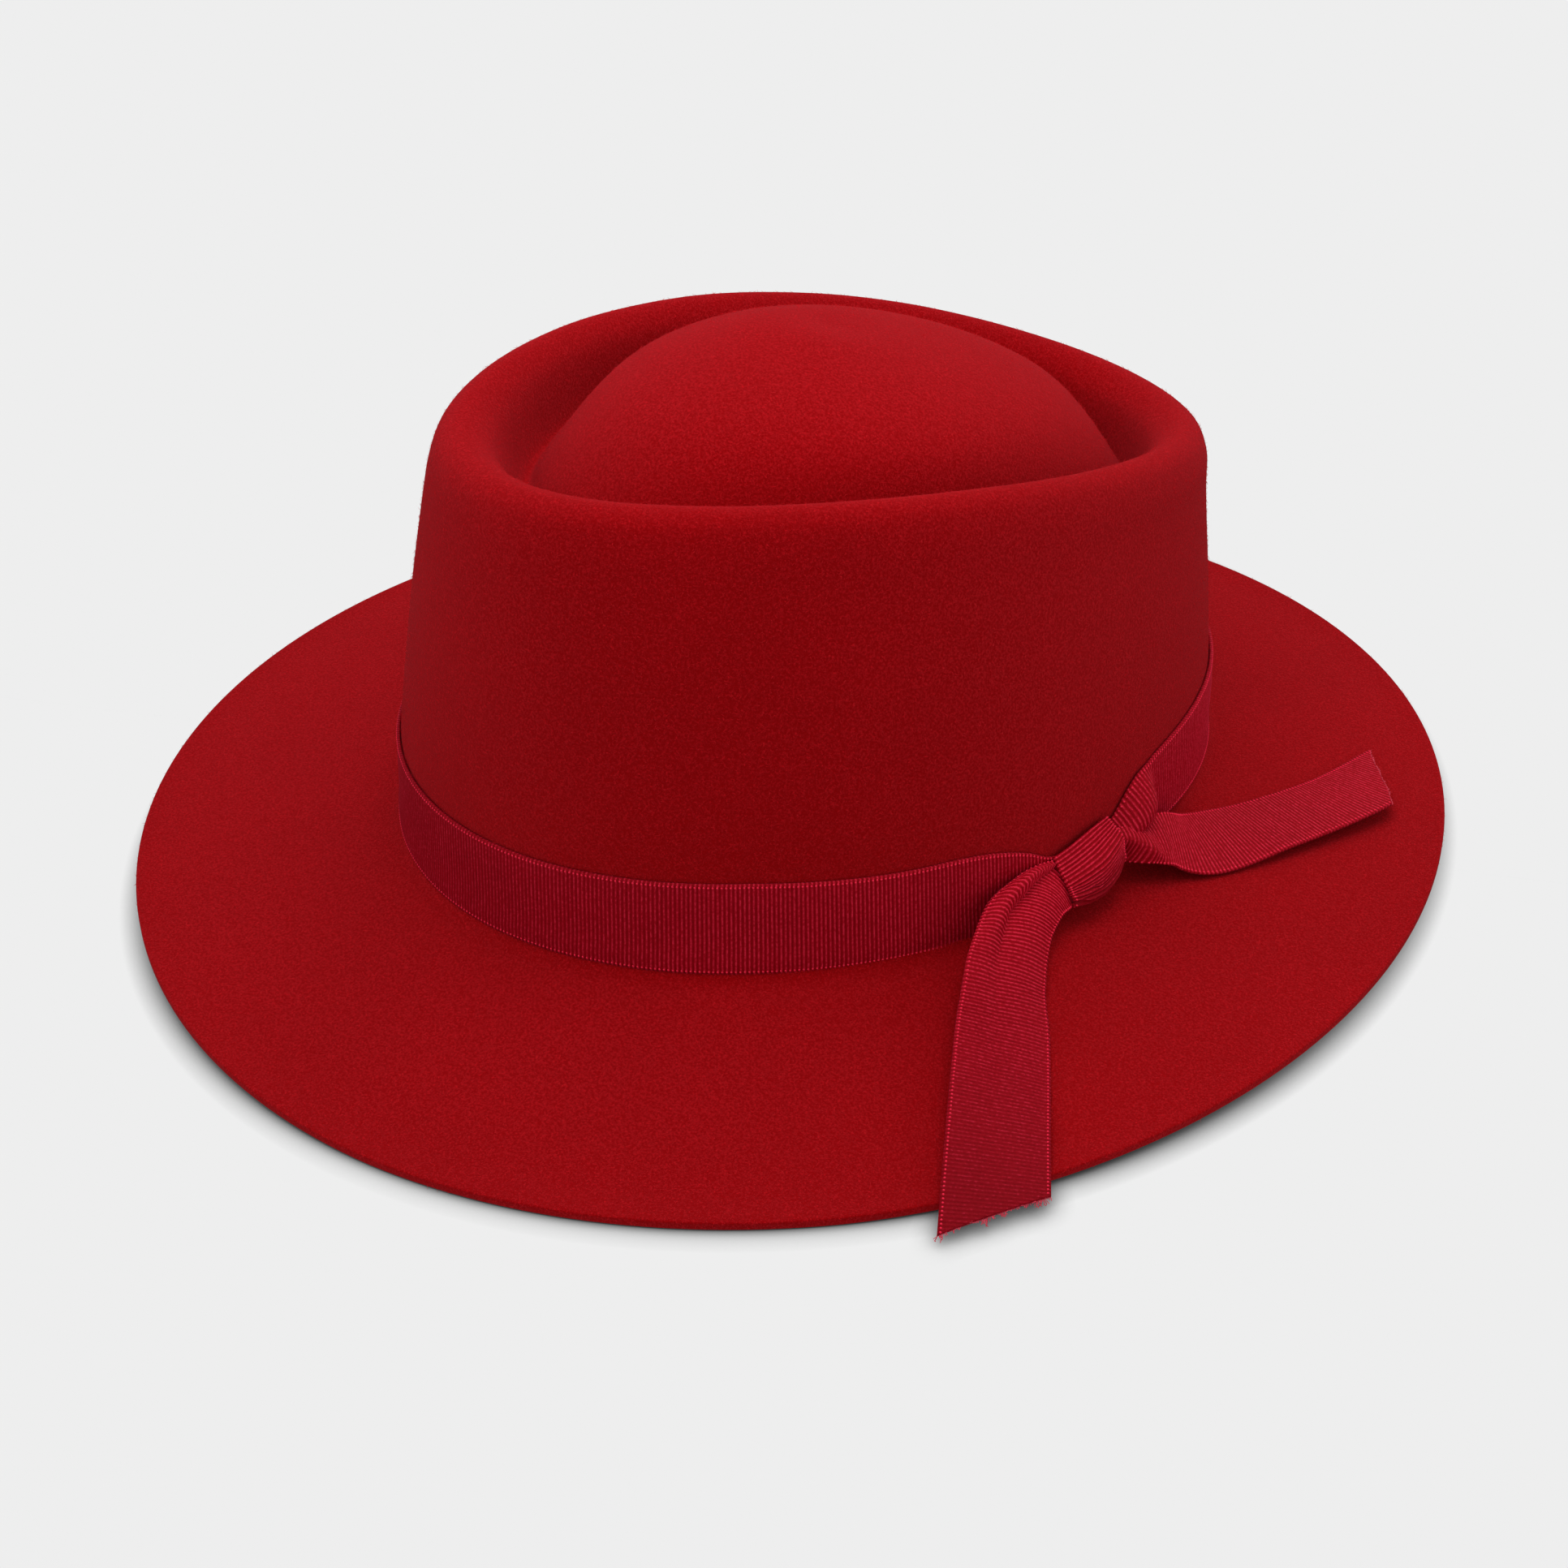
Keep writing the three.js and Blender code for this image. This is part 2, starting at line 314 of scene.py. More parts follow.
def make_dye_clouds():
    """Broad clouds of tone, from 1 - Strength to 1 + Strength, Size metres across."""
    inputs = {"Vector": VECTOR, "Size": SIZE, "Strength": SIZE}
    writer, given = start_tree("Dye clouds", "ShaderNodeTree", inputs, {"Tone": SIZE})
    scale = 1.0 / given["Size"]
    noise = writer.noise({"Vector": given["Vector"], "Scale": scale, "Detail": CLOUD_DETAIL})
    swing = (noise - NOISE_MIDDLE) * given["Strength"] * NOISE_STRETCH
    writer.add("NodeGroupOutput", {"Tone": swing + 1.0})
    return writer.tree


def make_curled_fibres():
    """Fine curled lines, about Curl metres apart. Fibre is 1 on a line and 0 between lines."""
    inputs = {"Vector": VECTOR, "Curl": SIZE, "Thinness": SIZE}
    writer, given = start_tree("Curled fibres", "ShaderNodeTree", inputs, {"Fibre": SIZE, "Grain": SIZE})
    scale = 1.0 / given["Curl"]
    layers = []
    for shift, turn in FIBRE_LAYERS:
        place = {"Vector": given["Vector"], "Location": (shift,) * 3, "Rotation": (turn,) * 3}
        moved = writer.add("ShaderNodeMapping", place)
        curls = writer.noise({"Vector": moved, "Scale": scale, **CURLS})
        breaks = writer.noise({"Vector": moved, "Scale": scale * BREAK_SCALE, "Detail": BREAK_DETAIL})
        off_line = writer.maths("ABSOLUTE", curls - NOISE_MIDDLE) * given["Thinness"]
        line = writer.maths("MAXIMUM", 1.0 - off_line, 0.0)
        layers.append(line * writer.faded(breaks, *BREAK_LIMITS))
    fibre = writer.maths("MAXIMUM", *layers)
    grain = writer.noise({"Vector": given["Vector"], "Scale": scale * GRAIN_SCALE, **GRAIN})
    writer.add("NodeGroupOutput", {"Fibre": fibre, "Grain": grain})
    return writer.tree


dye_clouds = make_dye_clouds()
curled_fibres = make_curled_fibres()
print("Shared effects:", dye_clouds.name, "and", curled_fibres.name)

# %% [markdown]
# The felt is matt, with a nap of short fibres that stand up a little and catch light at a grazing angle, so
# its edges look paler and pinker than its middle. A velvet effect could be painted, but the shader's sheen
# gives it from any side. Curled fibres, lighter than the ground, tint the surface and raise it a little.

# %% The felt's finish
FELT_GROUND = (0.25, 0.0004, 0.0011, 1)
FELT_FIBRE = (0.66, 0.007, 0.0125, 1)
FIBRE_SHARE = 0.8
GRAIN_SHARE = 0.25
LEAST_SHARE = 0.08
FIBRE_RISE = 0.6
Surface = namedtuple("Surface", "roughness specular sheen sheen_roughness sheen_tint")
SURFACE_SOCKETS = ("Roughness", "Specular IOR Level", "Sheen Weight", "Sheen Roughness", "Sheen Tint")
FELT_SURFACE = Surface(0.95, 0.02, 0.22, 0.5, (1.0, 0.11, 0.145, 1))


def start_material(name, surface):
    """A material whose even values are set on its shader, with the place on the object for its patterns."""
    material = bpy.data.materials.new(name)
    material.use_nodes = True
    writer = NodeWriter(material.node_tree)
    shader = material.node_tree.nodes["Principled BSDF"]
    for socket, value in zip(SURFACE_SOCKETS, surface):
        shader.inputs[socket].default_value = value
    return material, writer, shader, writer.add("ShaderNodeTexCoord", output="Object")


def cloudy(writer, place, size, strength):
    inputs = {"Vector": place, "Size": size, "Strength": strength}
    return writer.add("ShaderNodeGroup", inputs, "Tone", node_tree=dye_clouds)


def curly(writer, place, curl, thinness):
    inputs = {"Vector": place, "Curl": curl, "Thinness": thinness}
    return writer.add("ShaderNodeGroup", inputs, "Fibre", node_tree=curled_fibres)


def toned(writer, colour, tone):
    """A colour made lighter or darker by a tone near 1."""
    grey = writer.add("ShaderNodeCombineColor", {0: tone, 1: tone, 2: tone})
    return writer.between(colour, grey, 1.0, "RGBA", "MULTIPLY")


def make_felt_finish():
    material, writer, shader, place = start_material("wool_felt", FELT_SURFACE)
    clouds = cloudy(writer, place, size=45 * MM, strength=0.05)
    fibres = curly(writer, place, curl=0.32 * MM, thinness=10.0)
    grain = fibres.output("Grain")
    lightness = fibres * fibres * FIBRE_SHARE + (grain - NOISE_MIDDLE) * GRAIN_SHARE + LEAST_SHARE
    share = writer.maths("MAXIMUM", writer.maths("MINIMUM", lightness, 1.0), 0.0)
    colour = toned(writer, writer.between(FELT_GROUND, FELT_FIBRE, share, "RGBA"), clouds)
    writer.link(colour, shader.inputs["Base Color"])
    height = fibres * FIBRE_RISE + grain
    bump = writer.add("ShaderNodeBump", {"Height": height, "Strength": 0.7, "Distance": 0.35 * MM})
    writer.link(bump, shader.inputs["Normal"])
    return material


felt_finish = make_felt_finish()
print("Finish:", felt_finish.name)

# %% [markdown]
# Grosgrain ribbon is woven over thick cross threads, which show as ribs from edge to edge. The colour paints
# a pink highlight on each rib's top and nearly black red shade in the groove beside it. A texture could draw
# stripes, but they would not keep to the ribs where the ribbon bends. So each rib's height is kept on the
# mesh as an attribute, and the colour follows that. A fine twist runs along each rib. A second attribute,
# called tone, paints light and shade into the colour: below 1 it darkens and the ribs show less, above 1 it
# lightens and they show more.

# %% The ribbon's finish
# Painted shade in the groove, the side's colour between, and a painted highlight on the crest.
RIBBON_GROOVE_SHADE = (0.235, 0.0007, 0.0045, 1)
RIBBON_SIDE = (0.345, 0.0018, 0.0095, 1)
RIBBON_CREST_HIGHLIGHT = (0.61, 0.017, 0.046, 1)
RIBBON_SURFACE = Surface(0.6, 0.045, 0.04, 0.4, (1.0, 0.2, 0.34, 1))
MEAN_RIB = 0.6
CALMING = 1.5
TWIST_SHARE = 1.4

# The heights on a rib between which one colour gives way to the next.
GROOVE_TO_SIDE = (0.05, 0.6)
SIDE_TO_CREST = (0.72, 1.05)


def make_ribbon_finish():
    material, writer, shader, place = start_material("grosgrain", RIBBON_SURFACE)
    rib = writer.add("ShaderNodeAttribute", output="Fac", attribute_name="rib")
    tone = writer.add("ShaderNodeAttribute", output="Fac", attribute_name="tone")
    clouds = cloudy(writer, place, size=20 * MM, strength=0.06)
    twist = curly(writer, place, curl=0.5 * MM, thinness=5.0).output("Grain")
    # Where the tone paints shade the ribs show less, and where it paints light they show more.
    calmed = rib + (MEAN_RIB - rib) * (1.0 - tone) * CALMING
    uneven = calmed + (twist - NOISE_MIDDLE) * TWIST_SHARE
    side = writer.between(RIBBON_GROOVE_SHADE, RIBBON_SIDE, writer.faded(uneven, *GROOVE_TO_SIDE), "RGBA")
    crest = writer.between(side, RIBBON_CREST_HIGHLIGHT, writer.faded(uneven, *SIDE_TO_CREST), "RGBA")
    writer.link(toned(writer, crest, clouds * tone), shader.inputs["Base Color"])
    bump = writer.add("ShaderNodeBump", {"Height": twist, "Strength": 0.4, "Distance": 0.12 * MM})
    writer.link(bump, shader.inputs["Normal"])
    return material


ribbon_finish = make_ribbon_finish()
print("Finish:", ribbon_finish.name)

# %% [markdown]
# The felt follows a rule: each level of the hat is an oval, and the ovals change smoothly from the brim's
# edge to the top of the dome. Sculpting it would hide that rule. Here a short table holds the ovals, a
# smooth curve runs through the table's rows, and a Geometry Nodes tree wraps a grid round them.

# %% The table of ovals
Oval = namedtuple("Oval", "name half_x half_y shift height tilt saddle steps")

# Half sizes, backward shift and height in millimetres. tilt raises the front and lowers the back, saddle
# raises the sides and lowers both ends, and steps is how many facets lead to the next oval.
OVALS = [
    Oval("brim edge", 148.3, 161.0, 0.0, 2.0, 0.0, 0.0, 5),
    Oval("rest line", 141.5, 154.0, 0.0, 2.0, 0.0, 0.0, 9),
    Oval("brim middle", 118.0, 132.5, 1.5, 5.0, 0.0, 0.0, 9),
    Oval("brim root", 92.5, 109.5, 3.6, 10.0, 0.0, 0.0, 6),
    Oval("brim break", 85.8, 103.6, 4.0, 12.2, 0.0, 0.0, 6),
    Oval("wall foot", 84.2, 102.2, 4.0, 15.5, 0.3, 0.1, 8),
    Oval("ribbon top", 82.2, 101.2, 4.7, 34.0, 3.4, 1.0, 9),
    Oval("wall middle", 77.0, 98.9, 6.6, 58.7, 7.4, 2.1, 9),
    Oval("wall top", 69.2, 95.8, 9.2, 87.0, 11.9, 3.5, 8),
    Oval("shoulder", 67.0, 94.7, 10.4, 95.6, 12.9, 4.0, 8),
    Oval("brow", 64.5, 92.3, 10.6, 100.7, 12.9, 4.0, 8),
    Oval("rim", 60.6, 87.6, 10.6, 102.6, 12.9, 4.0, 8),
    Oval("inner lip", 56.2, 81.3, 10.6, 98.6, 12.9, 4.0, 8),
    Oval("valley", 53.0, 75.5, 12.0, 84.5, 12.4, 4.7, 6),
    Oval("dome foot", 49.7, 71.1, 12.7, 89.7, 11.2, 2.7, 10),
    Oval("dome side", 41.3, 52.7, 13.8, 106.8, 8.1, 0.4, 12),
    Oval("dome top", 14.3, 18.2, 13.8, 119.6, 4.6, 0.0, 6),
    Oval("apex", 1.0, 1.4, 13.8, 120.4, 0.2, 0.0, 1),
]
OVAL_NAMES = [oval.name for oval in OVALS]
print("Ovals:", ", ".join(OVAL_NAMES))

# %% Smooth levels between the ovals
SMALLEST_GAP = 1e-4


def smooth_curve(points, places):
    """A curve through points, at places counted in points: 2.5 is midway from the third to the fourth."""
    points = np.asarray(points, float)
    ends = np.vstack([2 * points[0] - points[1], points, 2 * points[-1] - points[-2]])
    gaps = np.sqrt(np.linalg.norm(np.diff(ends, axis=0), axis=1))
    found = []
    for place in places:
        start = min(int(place), len(points) - 2)
        share = place - start
        before, first, second, after = ends[start : start + 4]
        early, middle, late = gaps[start : start + 3]
        middle = middle if middle > SMALLEST_GAP else 1.0
        early = early if early > SMALLEST_GAP else middle
        late = late if late > SMALLEST_GAP else middle
        leave = (first - before) / early - (second - before) / (early + middle) + (second - first) / middle
        reach = (second - first) / middle - (after - first) / (middle + late) + (after - second) / late
        leave, reach = leave * middle, reach * middle
        bend = -3 * first + 3 * second - 2 * leave - reach
        twist = 2 * first - 2 * second + leave + reach
        found.append(first + share * (leave + share * (bend + share * twist)))
    return np.array(found)


def smooth_step(value, start, end):
    share = np.clip((value - start) / (end - start), 0, 1)
    return share * share * (3 - 2 * share)


def make_oval_rows():
    """A mesh of loose points, one for each level of the hat, that carries the oval there."""
    places = [row + step / oval.steps for row, oval in enumerate(OVALS[:-1]) for step in range(oval.steps)]
    places.append(len(OVALS) - 1)
    sizes = smooth_curve([(oval.half_x, oval.half_y, oval.height) for oval in OVALS], places)
    leans = smooth_curve([(oval.shift, oval.tilt, oval.saddle) for oval in OVALS], places)
    foot = OVAL_NAMES.index("wall foot")
    rest = OVAL_NAMES.index("rest line")
    lift = smooth_step(sizes[:, 0], OVALS[foot].half_x, OVALS[rest].half_x)
    lift[np.array(places) >= foot] = 0

    # A last row of no size closes the top.
    sizes = np.vstack([sizes, sizes[-1] * (0, 0, 1)])
    leans = np.vstack([leans, leans[-1] * (1, 0, 0)])

    # The marks are each level's share of the brim's lift and its place in the table.
    marks = np.stack([np.append(lift, 0), np.append(places, places[-1]), np.zeros(len(sizes))], axis=1)
    return make_guide("oval_rows", sizes * MM, lean=leans * MM, marks=marks)


oval_rows = make_oval_rows()
print("The hat has", len(oval_rows.vertices), "levels")

# %% [markdown]
# The tree looks up each level's oval by the grid's row and turns the grid's column into a direction. The
# brim of a soft hat never lies quite flat: it rests along two arcs and lifts between them, so the brim's
# height swings with the direction. The seam and the top are closed by merging, and the wall gets its
# thickness afterwards, when all faces point outwards.

# %% The felt's tree
FULL_TURN = 2 * math.pi
RIM_TILT = OVALS[OVAL_NAMES.index("rim")].tilt * MM
WELD = 0.005 * MM
WAVES = {"Scale": 22.0, "Detail": 1.0}
WAVES_STRETCH = 2.0

# The raw edge stays even: the waves set in at the rest line and are full from the brim's middle on.
WAVES_FROM = float(OVAL_NAMES.index("rest line"))
WAVES_FULL = float(OVAL_NAMES.index("brim middle"))


def make_felt_tree():
    writer, given = start_geometry_tree(
        "Felt loft",
        ["Sides"],
        ["Egg", "Brim lift", "Rest direction", "Rest half angle", "Thickness", "Unevenness"],
    )
    rows = given["Geometry"]
    levels = writer.add("GeometryNodeAttributeDomainSize", {"Geometry": rows}, "Point Count")
    columns = given["Sides"] + 1
    grid = writer.add("GeometryNodeMeshGrid", {"Vertices X": levels, "Vertices Y": columns})
    row, column = writer.row_and_column(columns)
    direction = column * FULL_TURN / given["Sides"]

    def oval_values(value):
        return writer.split(writer.looked_up(rows, value, row, "FLOAT_VECTOR"))

    half_x, half_y, height = oval_values(writer.add("GeometryNodeInputPosition"))
    shift, tilt, saddle = oval_values(writer.kept("lean", "FLOAT_VECTOR"))
    lift_share, place, _ = oval_values(writer.kept("marks", "FLOAT_VECTOR"))
    aside = writer.maths("COSINE", direction)
    behind = writer.maths("SINE", direction)
    away = writer.maths("SINE", direction - given["Rest direction"])
    flat = writer.maths("SINE", given["Rest half angle"])
    lift = writer.maths("MAXIMUM", (away * away - flat * flat) / (1.0 - flat * flat), 0.0)
    x = half_x * aside * (1.0 + given["Egg"] * tilt / RIM_TILT * behind)
    y = shift + half_y * behind
    z = height - tilt * behind + saddle * writer.maths("COSINE", direction * 2.0)
    z = writer.maths("MAXIMUM", z + lift_share * lift * given["Brim lift"], given["Thickness"])
    loft = writer.add("GeometryNodeSetPosition", {"Geometry": grid, "Position": writer.joined(x, y, z)})
    marked = writer.keep(loft, "place", place)
    outward = writer.add("GeometryNodeFlipFaces", {"Mesh": marked})
    closed = writer.add("GeometryNodeMergeByDistance", {"Geometry": outward, "Distance": WELD})
    waves = (writer.noise(WAVES) - NOISE_MIDDLE) * WAVES_STRETCH
    onset = writer.faded(writer.kept("place"), WAVES_FROM, WAVES_FULL)
    swing = waves * given["Unevenness"] * onset
    offset = writer.scaled(writer.add("GeometryNodeInputNormal"), swing)
    uneven = writer.add("GeometryNodeSetPosition", {"Geometry": closed, "Offset": offset})
    return end_geometry_tree(writer, uneven, given["Material"])


felt_tree = make_felt_tree()
print("The felt's tree has", len(felt_tree.nodes), "nodes")

# %% [markdown]
# The loft is a skin with no thickness. Solidify gives it the felt's two millimetres inwards, and a small
# bevel softens the raw edge of the brim, the only sharp edge there is.

# %% The felt body
FELT_THICKNESS = 2.0 * MM
RAW_EDGE_BEVEL = 0.45 * MM
SHARP = math.radians(60)


def make_felt():
    values = {
        "Sides": 256,
        "Egg": 0.045,
        "Brim lift": 4.2 * MM,
        "Rest direction": math.radians(-45),
        "Rest half angle": math.radians(18),
        "Thickness": FELT_THICKNESS,
        "Unevenness": 0.3 * MM,
        "Material": felt_finish,
    }
    felt = run_tree("felt_hat_body", oval_rows, felt_tree, values)
    wall = felt.modifiers.new("wall", "SOLIDIFY")
    wall.thickness = FELT_THICKNESS
    wall.offset = -1
    soft_edge = felt.modifiers.new("soft_edge", "BEVEL")
    soft_edge.width = RAW_EDGE_BEVEL
    soft_edge.segments = 3
    soft_edge.limit_method = "ANGLE"
    soft_edge.angle_limit = SHARP
    return report(plain_mesh(felt))


felt_body = make_felt()

# %% [markdown]
# The ribbon lies on the felt, so its place is found by asking the felt: a ray shot towards the crown finds
# the wall, and a ray shot down finds the brim. Nothing has to be placed by eye.

# %% Feel for the felt
RAY_START = 0.4
BAND_MIDDLE = 24.0 * MM
felt_surface = BVHTree.FromPolygons(
    [vertex.co.copy() for vertex in felt_body.data.vertices],
    [tuple(face.vertices) for face in felt_body.data.polygons],
)
FOOT_OVAL = OVALS[OVAL_NAMES.index("wall foot")]
CROWN_AXIS = Vector((0, FOOT_OVAL.shift * MM, 0))
WALL_FOOT = FOOT_OVAL.height * MM


def brim_top(point):
    """The height of the felt's upper face under a point, or the floor's where there is no felt."""
    hit, _, _, _ = felt_surface.ray_cast(Vector((point[0], point[1], RAY_START)), -UP)
    return hit.z if hit else 0.0


def on_wall(direction, height, out):
    """A point that stands out from the crown's wall at a height. Below its foot the wall is upright."""
    aside = Vector((math.cos(direction), math.sin(direction), 0))
    start = CROWN_AXIS + aside * RAY_START + UP * max(height, WALL_FOOT)
    hit, normal, _, _ = felt_surface.ray_cast(start, -aside)
    point = hit + normal * out
    point.z += min(height - WALL_FOOT, 0.0)
    return point


front_wall = on_wall(-math.pi / 2, BAND_MIDDLE, 0)
print("The wall at the front is at", [round(value / MM, 1) for value in front_wall], "mm")

# %% [markdown]
# Every piece of ribbon is woven the same way, so one tree makes them all. It is given a coarse net of guide
# points with one row for each rib, and makes five rows of each: the ribs swell between the guide's rows. A
# slanting cut is made by holding back the rows that would pass it, and a row of small loops, the selvedge,
# runs along both edges. The strip is then given a back, so that it is a closed solid.

# %% The ribbon's tree
RIB_STEPS = 5
RIB_CREST_STEP = 2
RIB_ROUNDNESS = 1.5
RIBBON_WELD = WELD / 10
# The selvedge's loops take the crest's painted highlight and are made lighter still.
LOOP_HIGHLIGHT = 1.4
LOOP_RISE = 0.6
NEAR = 0.1
MOSTLY = 0.5


def make_ribbon_tree():
    writer, given = start_geometry_tree(
        "Grosgrain", ["Columns"], ["First end", "Second end", "Thickness", "Rib height", "Loop size"]
    )
    guide = given["Geometry"]
    columns = given["Columns"]
    points = writer.add("GeometryNodeAttributeDomainSize", {"Geometry": guide}, "Point Count")
    last = points / columns - 1.0
    rows = last * RIB_STEPS + 1.0
    strip = writer.add("GeometryNodeMeshGrid", {"Vertices X": rows, "Vertices Y": columns})

    # Each point of the fine strip finds its place between two rows of the guide.
    row, column = writer.row_and_column(columns)
    across = writer.looked_up(guide, writer.kept("across"), column)
    cut = writer.between(given["First end"], given["Second end"], across)
    wanted = row / RIB_STEPS
    place = writer.maths("MINIMUM", wanted, cut)
    rib = writer.maths("MINIMUM", writer.maths("FLOOR", place), last - 1.0)
    share = place - rib
    position = writer.add("GeometryNodeInputPosition")
    first = rib * columns + column
    here = writer.looked_up(guide, position, first, "FLOAT_VECTOR")
    there = writer.looked_up(guide, position, first + columns, "FLOAT_VECTOR")
    spot = writer.between(here, there, share, "VECTOR")
    tone = writer.looked_up(guide, writer.kept("tone"), first)
    arch = writer.maths("ABSOLUTE", writer.maths("SINE", share * math.pi))
    swell = writer.maths("POWER", arch, RIB_ROUNDNESS)

    # A loop of the selvedge stands on each rib's crest, in the first column from each edge.
    on_crest = writer.maths("COMPARE", writer.maths("MODULO", row, RIB_STEPS), RIB_CREST_STEP, NEAR)
    from_edge = writer.maths("MINIMUM", column, columns - 1.0 - column)
    on_selvedge = writer.maths("COMPARE", from_edge, 1.0, NEAR)
    before_cut = writer.maths("LESS_THAN", wanted, cut)
    for name, value in (("rib", swell), ("tone", tone), ("loop", on_crest * on_selvedge * before_cut)):
        strip = writer.keep(strip, name, value)
    strip = writer.add("GeometryNodeSetPosition", {"Geometry": strip, "Position": spot})
    strip = writer.add("GeometryNodeMergeByDistance", {"Geometry": strip, "Distance": RIBBON_WELD})
    strip = writer.keep(strip, "facing", writer.add("GeometryNodeInputNormal"), "FLOAT_VECTOR")

    # The front is raised by the thickness and by the ribs, and the strip itself becomes the back.
    facing = writer.kept("facing", "FLOAT_VECTOR")
    thickness = {"Offset": facing, "Offset Scale": given["Thickness"], "Individual": False}
    front = writer.add("GeometryNodeExtrudeMesh", {"Mesh": strip, **thickness})
    relief = writer.scaled(facing, writer.kept("rib") * given["Rib height"])
    raised = {"Selection": front.output("Top"), "Offset": relief}
    ribbed = writer.add("GeometryNodeSetPosition", {"Geometry": front, **raised})
    back = writer.add("GeometryNodeFlipFaces", {"Mesh": strip})
    solid = {"Geometry": writer.together(ribbed, back), "Distance": RIBBON_WELD}
    ribbon = writer.add("GeometryNodeMergeByDistance", solid)
    is_loop = writer.maths("GREATER_THAN", writer.kept("loop"), MOSTLY)
    spots = writer.add("GeometryNodeMeshToPoints", {"Mesh": strip, "Selection": is_loop})
    rise = writer.scaled(facing, given["Thickness"] + given["Rib height"] * LOOP_RISE)
    spots = writer.add("GeometryNodeSetPosition", {"Geometry": spots, "Offset": rise})
    bead = writer.add("GeometryNodeMeshIcoSphere", {"Radius": given["Loop size"] / 2.0, "Subdivisions": 1})
    beads = writer.add("GeometryNodeInstanceOnPoints", {"Points": spots, "Instance": bead})
    loops = writer.add("GeometryNodeRealizeInstances", {"Geometry": beads})
    # Painted highlight: the loops get the crest's colour, made lighter.
    for name, value in (("rib", 1.0), ("tone", LOOP_HIGHLIGHT)):
        loops = writer.keep(loops, name, value)
    return end_geometry_tree(writer, writer.together(ribbon, loops), given["Material"])


ribbon_tree = make_ribbon_tree()
print("The ribbon's tree has", len(ribbon_tree.nodes), "nodes")

# %% [markdown]
# Band, knot and tails are cut from one ribbon, 22 millimetres wide, with a rib about every millimetre. The
# tree could be set up for each of them, but one function keeps their thickness, ribs and edges alike. It is
# given only what differs: the net of points, the slant of the cut, the height of the ribs and the tone that
# paints light and shade.

# %% Weave a ribbon on a net of guide points
RIBBON_THICKNESS = 0.5 * MM
RIB_PITCH = 0.95 * MM
RIB_HEIGHT = 0.22 * MM
LOOP_SIZE = 0.54 * MM
RIBBON_CLEARANCE = 0.3 * MM
SELVEDGE_SHARE = 0.03


def across_shares(inner):
    """Shares of the width, from 0 to 1: the two edges, the two selvedges and even columns between them."""
    middle = np.linspace(SELVEDGE_SHARE, 1 - SELVEDGE_SHARE, inner + 2)
    return np.concatenate([[0.0], middle, [1.0]])


def weave(name, net, shares, cut=0.0, tones=1.0, rib_height=RIB_HEIGHT):
    """A ribbon along a net of guide points, rows by columns.

    cut is how much shorter its second edge is, and tones is one tone, or one for each row, of painted light
    and shade.
    """
    rows, columns, _ = net.shape
    tone = np.repeat(np.ones(rows) * tones, columns)
    guide = make_guide(name + "_guide", net.reshape(-1, 3), across=np.tile(shares, rows), tone=tone)
    last = rows - 1.0
    values = {
        "Columns": columns,
        "First end": last + min(cut, 0.0) / RIB_PITCH,
        "Second end": last - max(cut, 0.0) / RIB_PITCH,
        "Thickness": RIBBON_THICKNESS,
        "Rib height": rib_height,
        "Loop size": LOOP_SIZE,
        "Material": ribbon_finish,
    }
    return report(run_tree(name, guide, ribbon_tree, values))


# %% [markdown]
# The band goes once round the crown. On the real hat its two ends meet in the knot, so here it starts and
# ends inside the knot too. A swept curve could carry it, but would keep its width, and close to the knot the
# ribbon is gathered. So a table gives the heights of both edges there, and how far the ribbon puffs out
# behind the knot before it lies flat on the wall. Round the hat's front the band is in shade, so painted
# shade makes its tone deeper there.

# %% The band's table
BandSection = namedtuple("BandSection", "along low high puff")

# Millimetres along the wall from the knot, backward positive, then the heights of both edges and the puff.
BAND_SECTIONS = [
    BandSection(-90.0, 13.0, 35.0, 0.0),
    BandSection(-55.0, 12.3, 33.4, 0.0),
    BandSection(-33.0, 11.8, 32.6, 0.0),
    BandSection(-23.5, 12.2, 31.0, 0.0),
    BandSection(-16.0, 13.2, 28.7, 0.0),
    BandSection(-7.5, 15.0, 25.0, 0.2),
    BandSection(5.0, 15.5, 25.2, 1.6),
    BandSection(14.0, 15.5, 26.0, 4.0),
    BandSection(22.0, 15.5, 31.2, 5.6),
    BandSection(26.5, 15.5, 33.2, 4.6),
    BandSection(31.0, 15.5, 34.0, 0.8),
    BandSection(36.0, 15.5, 34.8, 0.0),
    BandSection(60.0, 14.5, 35.4, 0.0),
    BandSection(90.0, 13.0, 35.0, 0.0),
]
SECTION_STEPS = 8


def smooth_table(rows):
    """A finer table through the rows of a short one. The first column says where each row stands."""
    values = np.array(rows) * MM
    places = np.linspace(0, len(rows) - 1, SECTION_STEPS * (len(rows) - 1) + 1)
    lines = [np.stack([values[:, 0], column, 0 * column], axis=1) for column in values.T[1:]]
    return [smooth_curve(line, places)[:, :2].T for line in lines]


band_columns = smooth_table(BAND_SECTIONS)
print("The band's table has", len(BAND_SECTIONS), "sections")

# %% The band
KNOT_DIRECTION = math.radians(11.4)
KNOT_RADIUS = 100.0 * MM
PUFF_FROM = 0.2
BAND_START = 2.0 * MM
# Painted shade deepens the band's tone by this much, most at the direction below.
PAINTED_SHADE_DEPTH = 0.24
PAINTED_SHADE_AT = math.radians(-115.0)
BAND_SAMPLES = 1200
BAND_COLUMNS = 9


